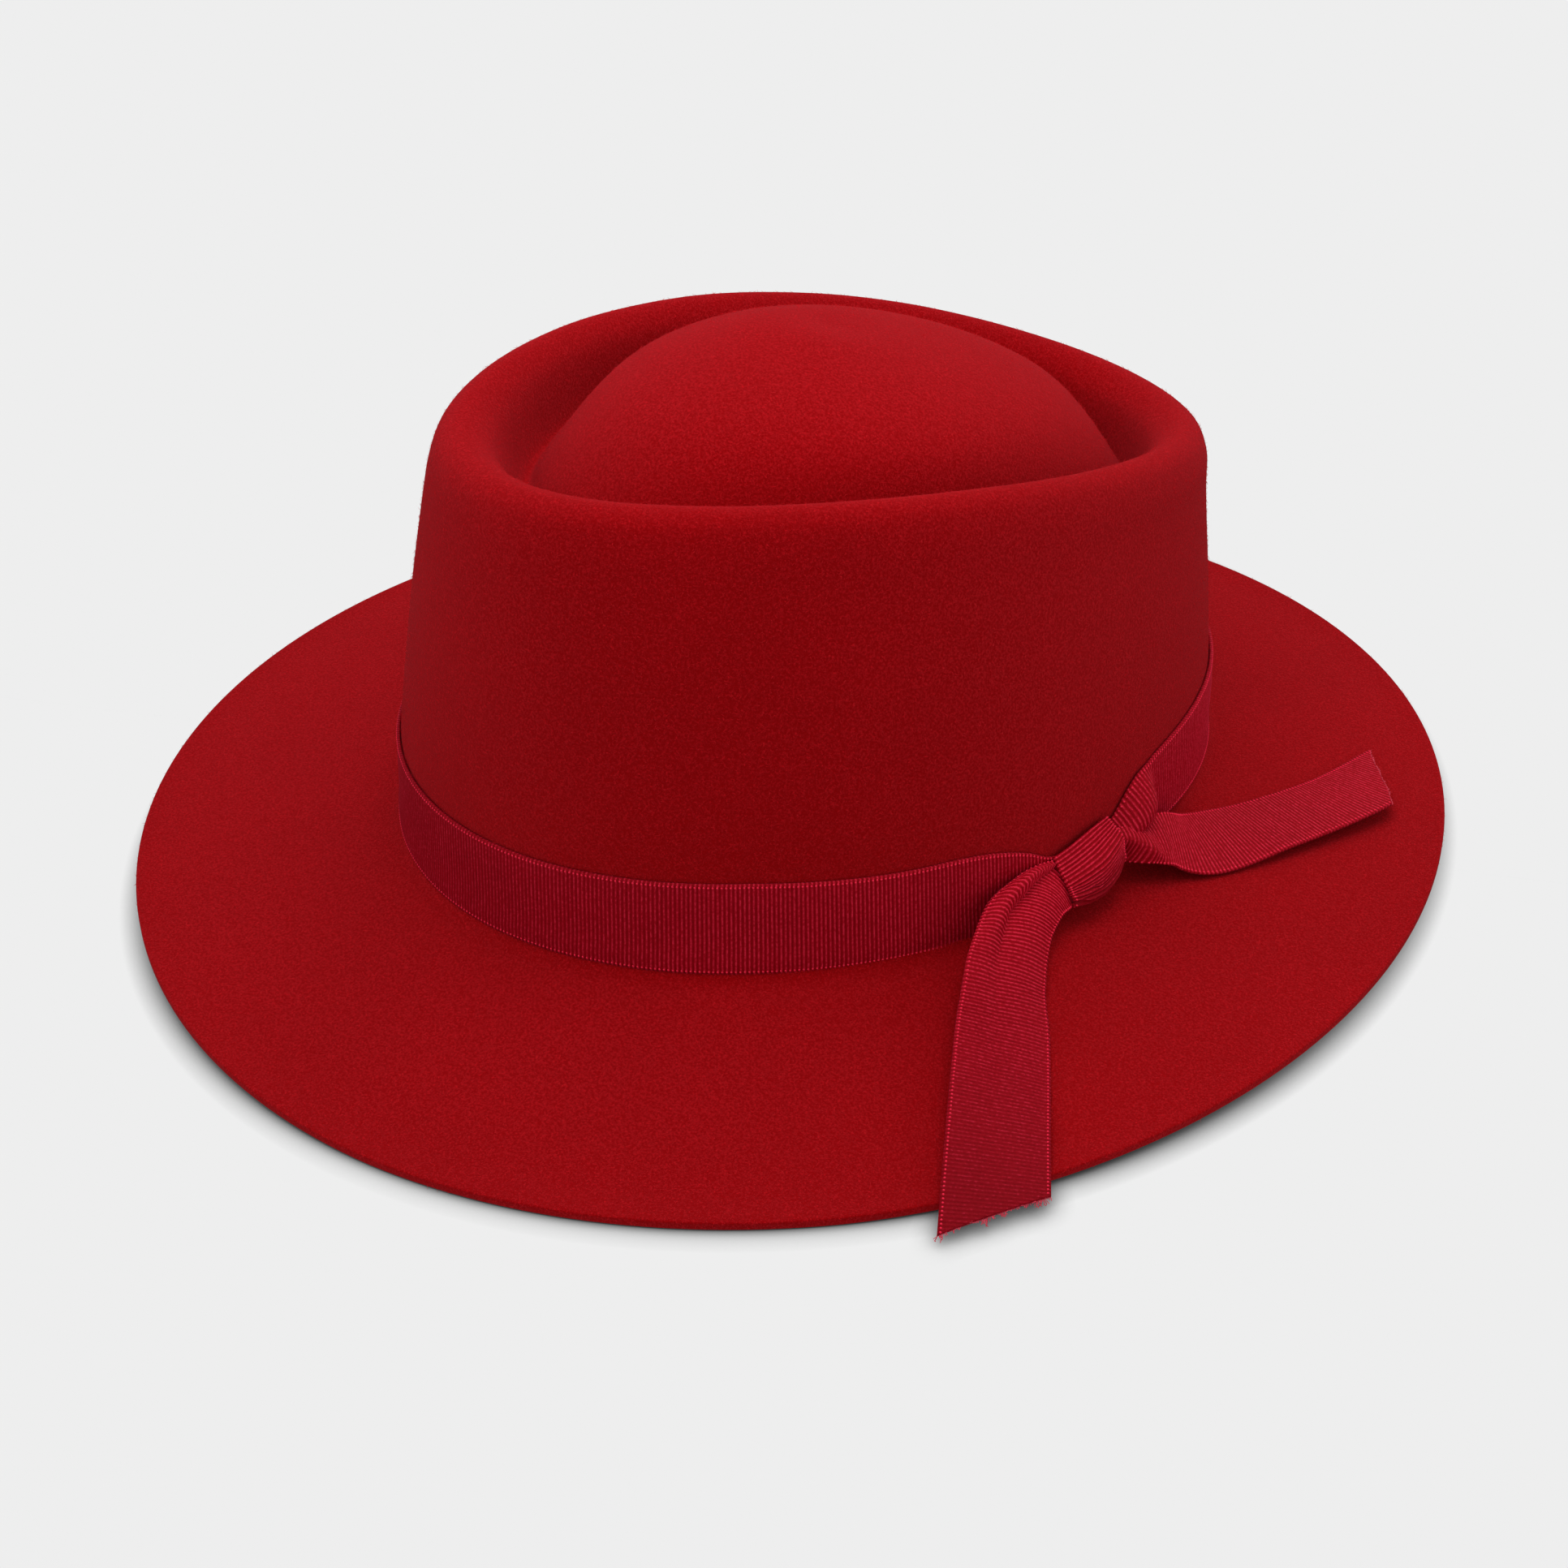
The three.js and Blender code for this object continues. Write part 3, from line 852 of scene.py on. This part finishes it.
def band_row(turn, shares):
    """One row of guide points across the band, turn radians on from the knot."""
    along = (turn if turn < math.pi else turn - FULL_TURN) * KNOT_RADIUS
    low, high, puff = (np.interp(along, *column) for column in band_columns)
    row = []
    for share in shares:
        swell = math.sin(math.pi * max(share - PUFF_FROM, 0.0) / (1 - PUFF_FROM))
        out = RIBBON_CLEARANCE + max(puff, 0.0) * swell
        row.append(on_wall(KNOT_DIRECTION + turn, low + (high - low) * share, out))
    return row


def even_places(path, step):
    """Places along a path, counted in points and one step apart, and the path's length."""
    run = np.append(0, np.cumsum(np.linalg.norm(np.diff(path, axis=0), axis=1)))
    count = int(run[-1] / step)
    return np.interp(np.arange(count + 1) * step, run, np.arange(len(path))), run[-1]


def make_band():
    shares = across_shares(BAND_COLUMNS)
    start = BAND_START / KNOT_RADIUS
    turns = np.linspace(start, FULL_TURN - start, BAND_SAMPLES)
    path = np.array([on_wall(KNOT_DIRECTION + turn, BAND_MIDDLE, 0) for turn in turns])
    places, length = even_places(path, RIB_PITCH)
    rib_turns = np.interp(places, np.arange(BAND_SAMPLES), turns)
    net = np.array([band_row(turn, shares) for turn in rib_turns])
    print("The band is", round(length / MM), "mm long")
    # Painted shade: the band's tone is deeper round the hat's front.
    nearness = np.maximum(np.cos(KNOT_DIRECTION + rib_turns - PAINTED_SHADE_AT), 0.0)
    tones = 1.0 - PAINTED_SHADE_DEPTH * nearness**2
    return weave("ribbon_round_crown", net, shares, tones=tones), length


ribbon_band, band_length = make_band()

# %% [markdown]
# A tied knot has layers that nobody sees. They could all be modelled, but only its outer turn shows: one turn
# of the ribbon round the gathered band, an open sleeve with a tail coming out at each side. A table gives the
# turn's top, ridge and foot at a few places along the wall: above the ridge the ribs face the light, and
# painted light makes their tone a little lighter; below it they are in shade, and painted shade makes the
# tone deeper.
# Pulled tight, its ribs stand higher than those of the band.

# %% The knot
KnotSection = namedtuple("KnotSection", "along top ridge ridge_out foot foot_out")

# Millimetres: the place along the wall, the heights of the turn's top, ridge and foot, and how far its ridge
# and foot stand out of the wall.
KNOT_SECTIONS = [
    KnotSection(-8.5, 25.2, 19.8, 5.6, 15.4, 7.8),
    KnotSection(-3.0, 26.0, 21.4, 6.5, 14.2, 8.0),
    KnotSection(2.0, 27.0, 22.8, 6.9, 14.0, 7.6),
    KnotSection(7.0, 27.8, 24.4, 6.4, 16.2, 7.0),
    KnotSection(11.5, 28.2, 25.4, 5.2, 20.0, 6.0),
]
KNOT_SEAT = 1.0
KNOT_RIB_HEIGHT = 0.42 * MM
KNOT_TUCK = 1.2
KNOT_COLUMNS = 12
KNOT_SAMPLES = 60

# Shares of the way round the turn, from its top to its foot, and the painted light and shade there.
KNOT_PAINTED_PLACES = (0.0, 0.5, 0.68, 1.0)
KNOT_PAINTED_LIGHT_AND_SHADE = (1.1, 1.1, 0.78, 0.7)


def knot_profile(section):
    """Height and distance from the wall along one turn, from its top over the ridge to its tucked foot."""
    _, top, ridge, ridge_out, foot, foot_out = section
    points = [
        (top, KNOT_SEAT),
        ((top + ridge) / 2, (KNOT_SEAT + ridge_out) / 2),
        (ridge, ridge_out),
        ((ridge + foot) / 2, (ridge_out + foot_out) / 2),
        (foot, foot_out),
        (foot - KNOT_TUCK, foot_out / 2),
    ]
    places = np.linspace(0, len(points) - 1, KNOT_SAMPLES)
    return smooth_curve([(height, out, 0) for height, out in points], places)[:, :2] * MM


def make_knot():
    shares = across_shares(KNOT_COLUMNS)
    table = np.array(KNOT_SECTIONS)
    places = shares * (len(table) - 1)
    sections = np.hstack([smooth_curve(half, places) for half in np.hsplit(table, 2)])
    profiles = [knot_profile(section) for section in sections]
    samples = np.arange(KNOT_SAMPLES)

    def knot_point(column, place):
        height, out = (np.interp(place, samples, line) for line in profiles[column].T)
        return on_wall(KNOT_DIRECTION + sections[column][0] * MM / KNOT_RADIUS, height, out)

    middle = len(shares) // 2
    path = np.array([knot_point(middle, place) for place in samples])
    places, length = even_places(path, RIB_PITCH)
    net = np.array([[knot_point(column, place) for column in range(len(shares))] for place in places])
    # Painted light above the ridge and painted shade below it.
    tones = np.interp(np.linspace(0, 1, len(places)), KNOT_PAINTED_PLACES, KNOT_PAINTED_LIGHT_AND_SHADE)
    return weave("ribbon_knot_turn", net, shares, tones=tones, rib_height=KNOT_RIB_HEIGHT), length


ribbon_knot, knot_length = make_knot()

# %% [markdown]
# Each tail leaves the knot gathered and folded, opens, turns flat and comes to lie on the brim. Cloth
# simulation could drop a strip there, but the folds at the knot would not be those of this knot. So a table
# gives the tail's line, width, lean and swing, and four columns shape the fold: a crease runs along the tail,
# the ribbon arches to both sides of it, and its outer part is turned down. The last column is the tone, which
# paints light and shade: the front tail is lighter near the knot and darker towards its end.

# %% The tables of the tails
TailRow = namedtuple("TailRow", "x y z width lean swing crease_at roll crown turn tone")

# Millimetres and degrees. lean 0 lies flat, and lean 90 stands on edge with its face away from the crown.
# swing turns the row about the upright, so that the ribs fan out where the ribbon turns at the knot.
# crease_at is a share of the width, roll and crown are the arches outside and inside it, and turn is how far
# the outer part is bent down. A tone of 1 is the band's own, less is painted shade and more is painted light.
FRONT_TAIL = [
    TailRow(85.0, 22.0, 19.4, 8.0, 58, 0, 0.05, 0.1, 0.2, 0, 1.1),
    TailRow(86.9, 13.9, 19.9, 10.8, 50, 22, 0.12, 1.4, 0.8, 0, 1.1),
    TailRow(88.8, 6.0, 20.0, 14.6, 36, 42, 0.26, 4.2, 1.6, 0, 1.12),
    TailRow(91.4, -0.4, 18.6, 17.6, 32, 30, 0.31, 2.8, 1.7, 0, 1.1),
    TailRow(100.0, -10.2, 14.6, 20.0, 32, 10, 0.37, 0.6, 0.8, 0, 1.0),
    TailRow(110.8, -18.6, 10.4, 21.2, 22.5, 3, 0.42, 0.2, 0.3, 0, 0.9),
    TailRow(132.7, -35.5, 6.1, 21.4, 11, 0, 0.45, 0.1, 0.1, 0, 0.74),
    TailRow(153.4, -51.3, 1.6, 22.0, 0, 0, 0.45, 0.0, 0.0, 0, 0.6),
]
FRONT_CUT = 11.5 * MM
BACK_TAIL = [
    TailRow(86.2, 26.0, 22.6, 9.0, -34, 0, 0.7, 0.0, 0.1, 70, 1.0),
    TailRow(87.2, 33.8, 22.8, 9.8, -27, 0, 0.66, 0.2, 0.2, 82, 1.0),
    TailRow(86.6, 37.6, 21.5, 10.8, -27, 0, 0.45, 0.2, 0.4, 82, 1.0),
    TailRow(85.0, 41.2, 19.6, 11.4, -36, 0, 0.15, 0.0, 0.4, 60, 1.0),
    TailRow(84.2, 45.9, 17.6, 13.2, -38, 0, 0.0, 0.0, 0.4, 0, 1.0),
    TailRow(84.3, 55.5, 12.6, 17.6, -21.5, 0, 0.0, 0.0, 0.2, 0, 1.0),
    TailRow(84.7, 74.8, 10.3, 20.2, 0.5, 0, 0.0, 0.0, 0.0, 0, 1.0),
    TailRow(84.9, 99.9, 9.4, 20.6, 6, 0, 0.0, 0.0, 0.0, 0, 1.0),
    TailRow(81.1, 123.5, 8.2, 20.6, 7, 0, 0.0, 0.0, 0.0, 0, 1.0),
]
BACK_CUT = -18.5 * MM
print("The tails' tables have", len(FRONT_TAIL), "and", len(BACK_TAIL), "rows")

# %% The tails
Tail = namedtuple("Tail", "piece net shares cut length")
TAIL_COLUMNS = 20
TAIL_SAMPLES = 500
SMOOTHING_ROUNDS = 3

# The line that x, y and z give runs along the middle of the width.
LINE_AT = 0.5


def tail_row(centre, heading, form, fold, shares):
    """One row of guide points across a tail: two arches that meet at the crease."""
    width, lean, swing, crease_at = form
    roll, crown, turn = fold
    heading = Matrix.Rotation(math.radians(swing), 3, "Z") @ heading
    level = UP.cross(heading).normalized()
    across = Matrix.Rotation(-math.radians(lean), 3, heading) @ level
    face = heading.cross(across).normalized()
    bent = Matrix.Rotation(math.radians(turn), 3, heading)
    crease = centre + across * (width * (crease_at - LINE_AT) * MM)
    row = []
    for share in shares:
        run = width * (share - crease_at)
        if share < crease_at:
            arch = roll * math.sin(math.pi * share / crease_at)
            row.append(crease + bent @ (across * run + face * arch) * MM)
        else:
            arch = crown * math.sin(math.pi * (share - crease_at) / (1 - crease_at))
            row.append(crease + (across * run + face * arch) * MM)
    return row


def rest_on_brim(net):
    """Lifts the points that would sink into the brim, and evens out the kinks that this leaves."""
    lowest = np.array([[brim_top(point) for point in row] for row in net]) + RIBBON_CLEARANCE
    heights = net[:, :, 2]
    for _ in range(SMOOTHING_ROUNDS):
        heights[:] = np.maximum(heights, lowest)
        heights[1:-1] = (heights[:-2] + 2 * heights[1:-1] + heights[2:]) / 4
    heights[:] = np.maximum(heights, lowest)
    return net


def make_tail(name, table, cut):
    """A tail's woven piece, with the net it lies on, for what is set on its cut later."""
    shares = across_shares(TAIL_COLUMNS)
    fine = np.linspace(0, len(table) - 1, TAIL_SAMPLES)
    line = [(row.x, row.y, row.z) for row in table]
    path = smooth_curve(line, fine) * MM
    places, length = even_places(path, RIB_PITCH)
    places = np.interp(places, np.arange(TAIL_SAMPLES), fine)
    centres = smooth_curve(line, places) * MM
    forms = smooth_curve([(row.width, row.lean, row.swing, row.crease_at) for row in table], places)
    folds = smooth_curve([(row.roll, row.crown, row.turn) for row in table], places)
    headings = [Vector(step).normalized() for step in np.gradient(centres, axis=0)]
    rows = zip(centres, headings, forms, folds)
    net = [tail_row(Vector(centre), heading, form, fold, shares) for centre, heading, form, fold in rows]
    net = rest_on_brim(np.array(net))
    # The tone column paints light and shade along the tail.
    tones = np.interp(places, np.arange(len(table)), [row.tone for row in table])
    return Tail(weave(name, net, shares, cut, tones), net, shares, cut, length)


tail_front = make_tail("ribbon_tail_front", FRONT_TAIL, FRONT_CUT)
tail_back = make_tail("ribbon_tail_back", BACK_TAIL, BACK_CUT)

# %% [markdown]
# A cut ribbon frays: the long threads come loose at the cut and curl. Each could be drawn as a curve, but a
# tree sets the whole row at once, on the cut's line, which is taken from the net of guide points. A noise
# along the line picks a few places where the threads are longer, so that they stand in clumps.

# %% The threads' finish and tree
THREAD_COLOUR = (0.62, 0.05, 0.085, 1)
THREAD_SURFACE = Surface(0.6, 0.1, 0.1, 0.4, (1.0, 0.4, 0.5, 1))
THREAD_POINTS = 6
THREAD_SIDES = 4
CLUMP_LIMITS = (0.52, 0.62)
LONG_SHARES = (0.3, 1.0)
CURLS_IN_A_CLUMP = 3.0


def make_fibre_finish(name, surface, colour, size, strength):
    """The finish of single fibres: one colour, with clouds of tone of a size and a strength."""
    material, writer, shader, place = start_material(name, surface)
    clouds = cloudy(writer, place, size, strength)
    writer.link(toned(writer, colour, clouds), shader.inputs["Base Color"])
    return material


def make_thread_tree():
    writer, given = start_geometry_tree(
        "Frayed edge", ["Count", "Seed"], ["Short", "Long", "Clump", "Spread", "Radius"]
    )
    edge = writer.add("GeometryNodeMeshToCurve", {"Mesh": given["Geometry"]})
    roots = writer.add("GeometryNodeResampleCurve", {"Curve": edge, "Count": given["Count"]})
    heading = writer.kept("heading", "FLOAT_VECTOR")
    every_way = {"Min": (-1.0,) * 3, "Max": (1.0,) * 3, "Seed": given["Seed"]}
    stray = writer.add("FunctionNodeRandomValue", every_way, data_type="FLOAT_VECTOR")
    aim = writer.vector_maths("ADD", heading, writer.scaled(stray, given["Spread"]))
    turn = writer.add("FunctionNodeAlignRotationToVector", {"Vector": aim}, axis="Z")
    scale = 1.0 / given["Clump"]
    clumps = writer.faded(writer.noise({"Scale": scale, "Detail": 0.0}), *CLUMP_LIMITS)
    chance = writer.chance(*LONG_SHARES, given["Seed"] + 1)
    size = writer.joined(1.0, 1.0, given["Short"] + given["Long"] * clumps * chance)
    line = writer.add("GeometryNodeCurvePrimitiveLine", {"End": tuple(UP)})
    thread = writer.add("GeometryNodeResampleCurve", {"Curve": line, "Count": THREAD_POINTS})
    set_out = {"Points": roots, "Instance": thread, "Rotation": turn, "Scale": size}
    threads = writer.add("GeometryNodeInstanceOnPoints", set_out)
    straight = writer.add("GeometryNodeRealizeInstances", {"Geometry": threads})
    waves = writer.noise({"Scale": scale * CURLS_IN_A_CLUMP, "Detail": 0.0}, "Color")
    swing = writer.vector_maths("SUBTRACT", waves, (NOISE_MIDDLE,) * 3)
    along = writer.add("GeometryNodeSplineParameter", output="Factor")
    curl = writer.scaled(swing, along * given["Long"])
    curled = writer.add("GeometryNodeSetPosition", {"Geometry": straight, "Offset": curl})
    circle = {"Resolution": THREAD_SIDES, "Radius": given["Radius"]}
    profile = writer.add("GeometryNodeCurvePrimitiveCircle", circle)
    solid = {"Curve": curled, "Profile Curve": profile, "Fill Caps": True}
    return end_geometry_tree(writer, writer.add("GeometryNodeCurveToMesh", solid), given["Material"])


thread_finish = make_fibre_finish(
    "loose_thread", THREAD_SURFACE, THREAD_COLOUR, size=1.5 * MM, strength=0.2
)
thread_tree = make_thread_tree()
print("The threads' tree has", len(thread_tree.nodes), "nodes")


# %% Frayed threads
def cut_point(tail, column):
    """Where the cut crosses one column of a tail's net, at half the ribbon's thickness."""
    back = abs(tail.cut) / RIB_PITCH
    share = tail.shares[column] if tail.cut > 0 else 1 - tail.shares[column]
    place = len(tail.net) - 1 - back * share
    row = int(place)
    spot = tail.net[row, column]
    if row + 1 < len(tail.net):
        spot = spot + (tail.net[row + 1, column] - spot) * (place - row)
    return spot + np.array(UP) * RIBBON_THICKNESS / 2


def fray(name, tail, count, long, seed):
    """Threads along the cut end of a tail."""
    points = [cut_point(tail, column) for column in range(len(tail.shares))]
    heading = (tail.net[-1] - tail.net[-2]).mean(axis=0)
    heading = heading / np.linalg.norm(heading)
    edges = [(row, row + 1) for row in range(len(points) - 1)]
    line = make_guide(name + "_line", points, edges, heading=[heading] * len(points))
    values = {
        "Count": count,
        "Short": 0.35 * MM,
        "Long": long,
        "Clump": 3.0 * MM,
        "Spread": 0.35,
        "Radius": 0.08 * MM,
        "Seed": seed,
        "Material": thread_finish,
    }
    return report(run_tree(name, line, thread_tree, values))


front_threads = fray("frayed_threads_front", tail_front, count=120, long=1.9 * MM, seed=3)
back_threads = fray("frayed_threads_back", tail_back, count=110, long=0.5 * MM, seed=8)

# %% [markdown]
# Felt has no smooth skin. Fine fibres stand off it everywhere, most plainly along outlines and at the raw
# edge of the brim. A particle system could grow them, but a tree is shorter: it scatters points on the felt
# and sets a thin three-sided fibre on each, leaning far over in a random direction.

# %% The nap
FIBRE_SIDES = 3
OUTSIDE_SLOPE = -0.1
NAP_SURFACE = Surface(0.95, 0.03, 0.1, 0.5, (1.0, 0.34, 0.4, 1))
LEAN_SHARES = (0.75, 1.1)
LENGTH_SHARES = (0.5, 1.4)


def make_nap_tree():
    writer, given = start_geometry_tree("Felt nap", ["Seed"], ["Density", "Length", "Radius", "Lean"])
    seed = given["Seed"]
    _, _, upward = writer.split(writer.add("GeometryNodeInputNormal"))
    outside = writer.maths("GREATER_THAN", upward, OUTSIDE_SLOPE)
    spread = {"Mesh": given["Geometry"], "Selection": outside, "Density": given["Density"], "Seed": seed}
    roots = writer.add("GeometryNodeDistributePointsOnFaces", spread)
    way = writer.chance(0.0, FULL_TURN, seed)
    lean = given["Lean"] * writer.chance(*LEAN_SHARES, seed + 1)
    stretch = writer.chance(*LENGTH_SHARES, seed + 2)
    turn = roots.output("Rotation")
    for angles in (writer.joined(0.0, 0.0, way), writer.joined(lean, 0.0, 0.0)):
        step = writer.add("FunctionNodeEulerToRotation", {"Euler": angles})
        turns = {"Rotation": turn, "Rotate By": step}
        turn = writer.add("FunctionNodeRotateRotation", turns, rotation_space="LOCAL")
    sizes = {"Radius Bottom": given["Radius"], "Radius Top": 0.0, "Depth": given["Length"]}
    fibre = writer.add("GeometryNodeMeshCone", {"Vertices": FIBRE_SIDES, **sizes}, fill_type="NGON")
    size = writer.joined(1.0, 1.0, stretch)
    set_out = {"Points": roots, "Instance": fibre, "Rotation": turn, "Scale": size}
    return end_geometry_tree(writer, writer.add("GeometryNodeInstanceOnPoints", set_out), given["Material"])


nap_values = {
    "Density": 320000.0,
    "Length": 0.9 * MM,
    "Radius": 0.05 * MM,
    "Lean": math.radians(72),
    "Seed": 5,
    "Material": make_fibre_finish("felt_nap", NAP_SURFACE, FELT_FIBRE, size=2 * MM, strength=0.15),
}
nap = report(run_tree("felt_nap", felt_body.data.copy(), make_nap_tree(), nap_values))

# %% [markdown]
# Five broad round lamps light the hat. One hangs close above it, so that the dome gets more of it than the
# brim does, and the other four stand round it and fill the sides. The floor could catch the lamps' shadows,
# but then the background would not be even. So it is a pale sheet that glows evenly and is darkened only
# where the hat stands close to it, which gives a soft shadow under the brim.

# %% The floor
FLOOR_HALF = 6.0
FLOOR_DROP = 0.2 * MM
PALE = 0.855
SHADOW_REACH = 6.0 * MM
SHADOW_DEPTH = 2.2
FLOOR_BOUNCE = 0.55


def make_floor():
    signs = ((-1, -1), (1, -1), (1, 1), (-1, 1))
    corners = [(x * FLOOR_HALF, y * FLOOR_HALF, -FLOOR_DROP) for x, y in signs]
    mesh = bpy.data.meshes.new("studio_floor")
    mesh.from_pydata(corners, [], [(0, 1, 2, 3)])
    floor = bpy.data.objects.new("studio_floor", mesh)
    scene.collection.objects.link(floor)
    material = bpy.data.materials.new("studio_paper")
    material.use_nodes = True
    material.node_tree.nodes.clear()
    writer = NodeWriter(material.node_tree)
    openness = writer.add("ShaderNodeAmbientOcclusion", {"Distance": SHADOW_REACH}, "AO", samples=16)
    seen = writer.maths("POWER", openness, SHADOW_DEPTH) * PALE
    to_camera = writer.add("ShaderNodeLightPath", output="Is Camera Ray")
    strength = writer.between(FLOOR_BOUNCE, seen, to_camera)
    glow = writer.add("ShaderNodeEmission", {"Strength": strength})
    writer.add("ShaderNodeOutputMaterial", {"Surface": glow})
    mesh.materials.append(material)
    return floor


print("Stage:", make_floor().name)

# %% The light
ROOM_LIGHT = 0.4
WHITE = (1, 1, 1, 1)
LAMP_AIM = Vector((0.0, 0.0, 0.05))
Lamp = namedtuple("Lamp", "name place size power")

# Metres and watts.
LAMPS = [
    Lamp("top_lamp", Vector((0.0, 0.0, 0.48)), 0.5, 1.65),
    Lamp("left_lamp", Vector((-0.3, -0.85, 0.4)), 0.6, 1.5),
    Lamp("right_lamp", Vector((0.5, 0.8, 0.4)), 0.6, 1.8),
    Lamp("window_lamp", Vector((-0.5, 0.6, 0.7)), 0.7, 1.42),
    Lamp("fill_lamp", Vector((0.9, -0.55, 0.28)), 0.6, 0.95),
]


def make_light():
    world = bpy.data.worlds.new("studio_room")
    world.use_nodes = True
    scene.world = world
    writer = NodeWriter(world.node_tree)
    to_camera = writer.add("ShaderNodeLightPath", output="Is Camera Ray")
    backdrop = world.node_tree.nodes["Background"]
    backdrop.inputs["Color"].default_value = WHITE
    writer.link(writer.between(ROOM_LIGHT, PALE, to_camera), backdrop.inputs["Strength"])
    for lamp in LAMPS:
        data = bpy.data.lights.new(lamp.name, "AREA")
        data.shape = "DISK"
        data.size = lamp.size
        data.energy = lamp.power
        holder = bpy.data.objects.new(lamp.name, data)
        holder.location = lamp.place
        holder.rotation_euler = (lamp.place - LAMP_AIM).to_track_quat("Z", "Y").to_euler()
        scene.collection.objects.link(holder)
    scene.view_settings.view_transform = "Standard"


make_light()
print("Lamps:", ", ".join(lamp.name for lamp in LAMPS))

# %% [markdown]
# Last, each piece is tied to the plain model: it rides on the hat's one body and stands for its plain solid.

# %% Tie the pieces to the plain model
BODY = "root"
for piece, node, slot in (
    (felt_body, "felt_body", "felt"),
    (ribbon_band, "ribbon_band", "ribbon"),
    (ribbon_knot, "ribbon_knot", "ribbon"),
    (tail_front.piece, "tail_front", "ribbon"),
    (tail_back.piece, "tail_back", "ribbon"),
):
    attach(piece, BODY)
    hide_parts(node)
for piece, slot in ((nap, "felt"), (front_threads, "ribbon"), (back_threads, "ribbon")):
    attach(piece, BODY)
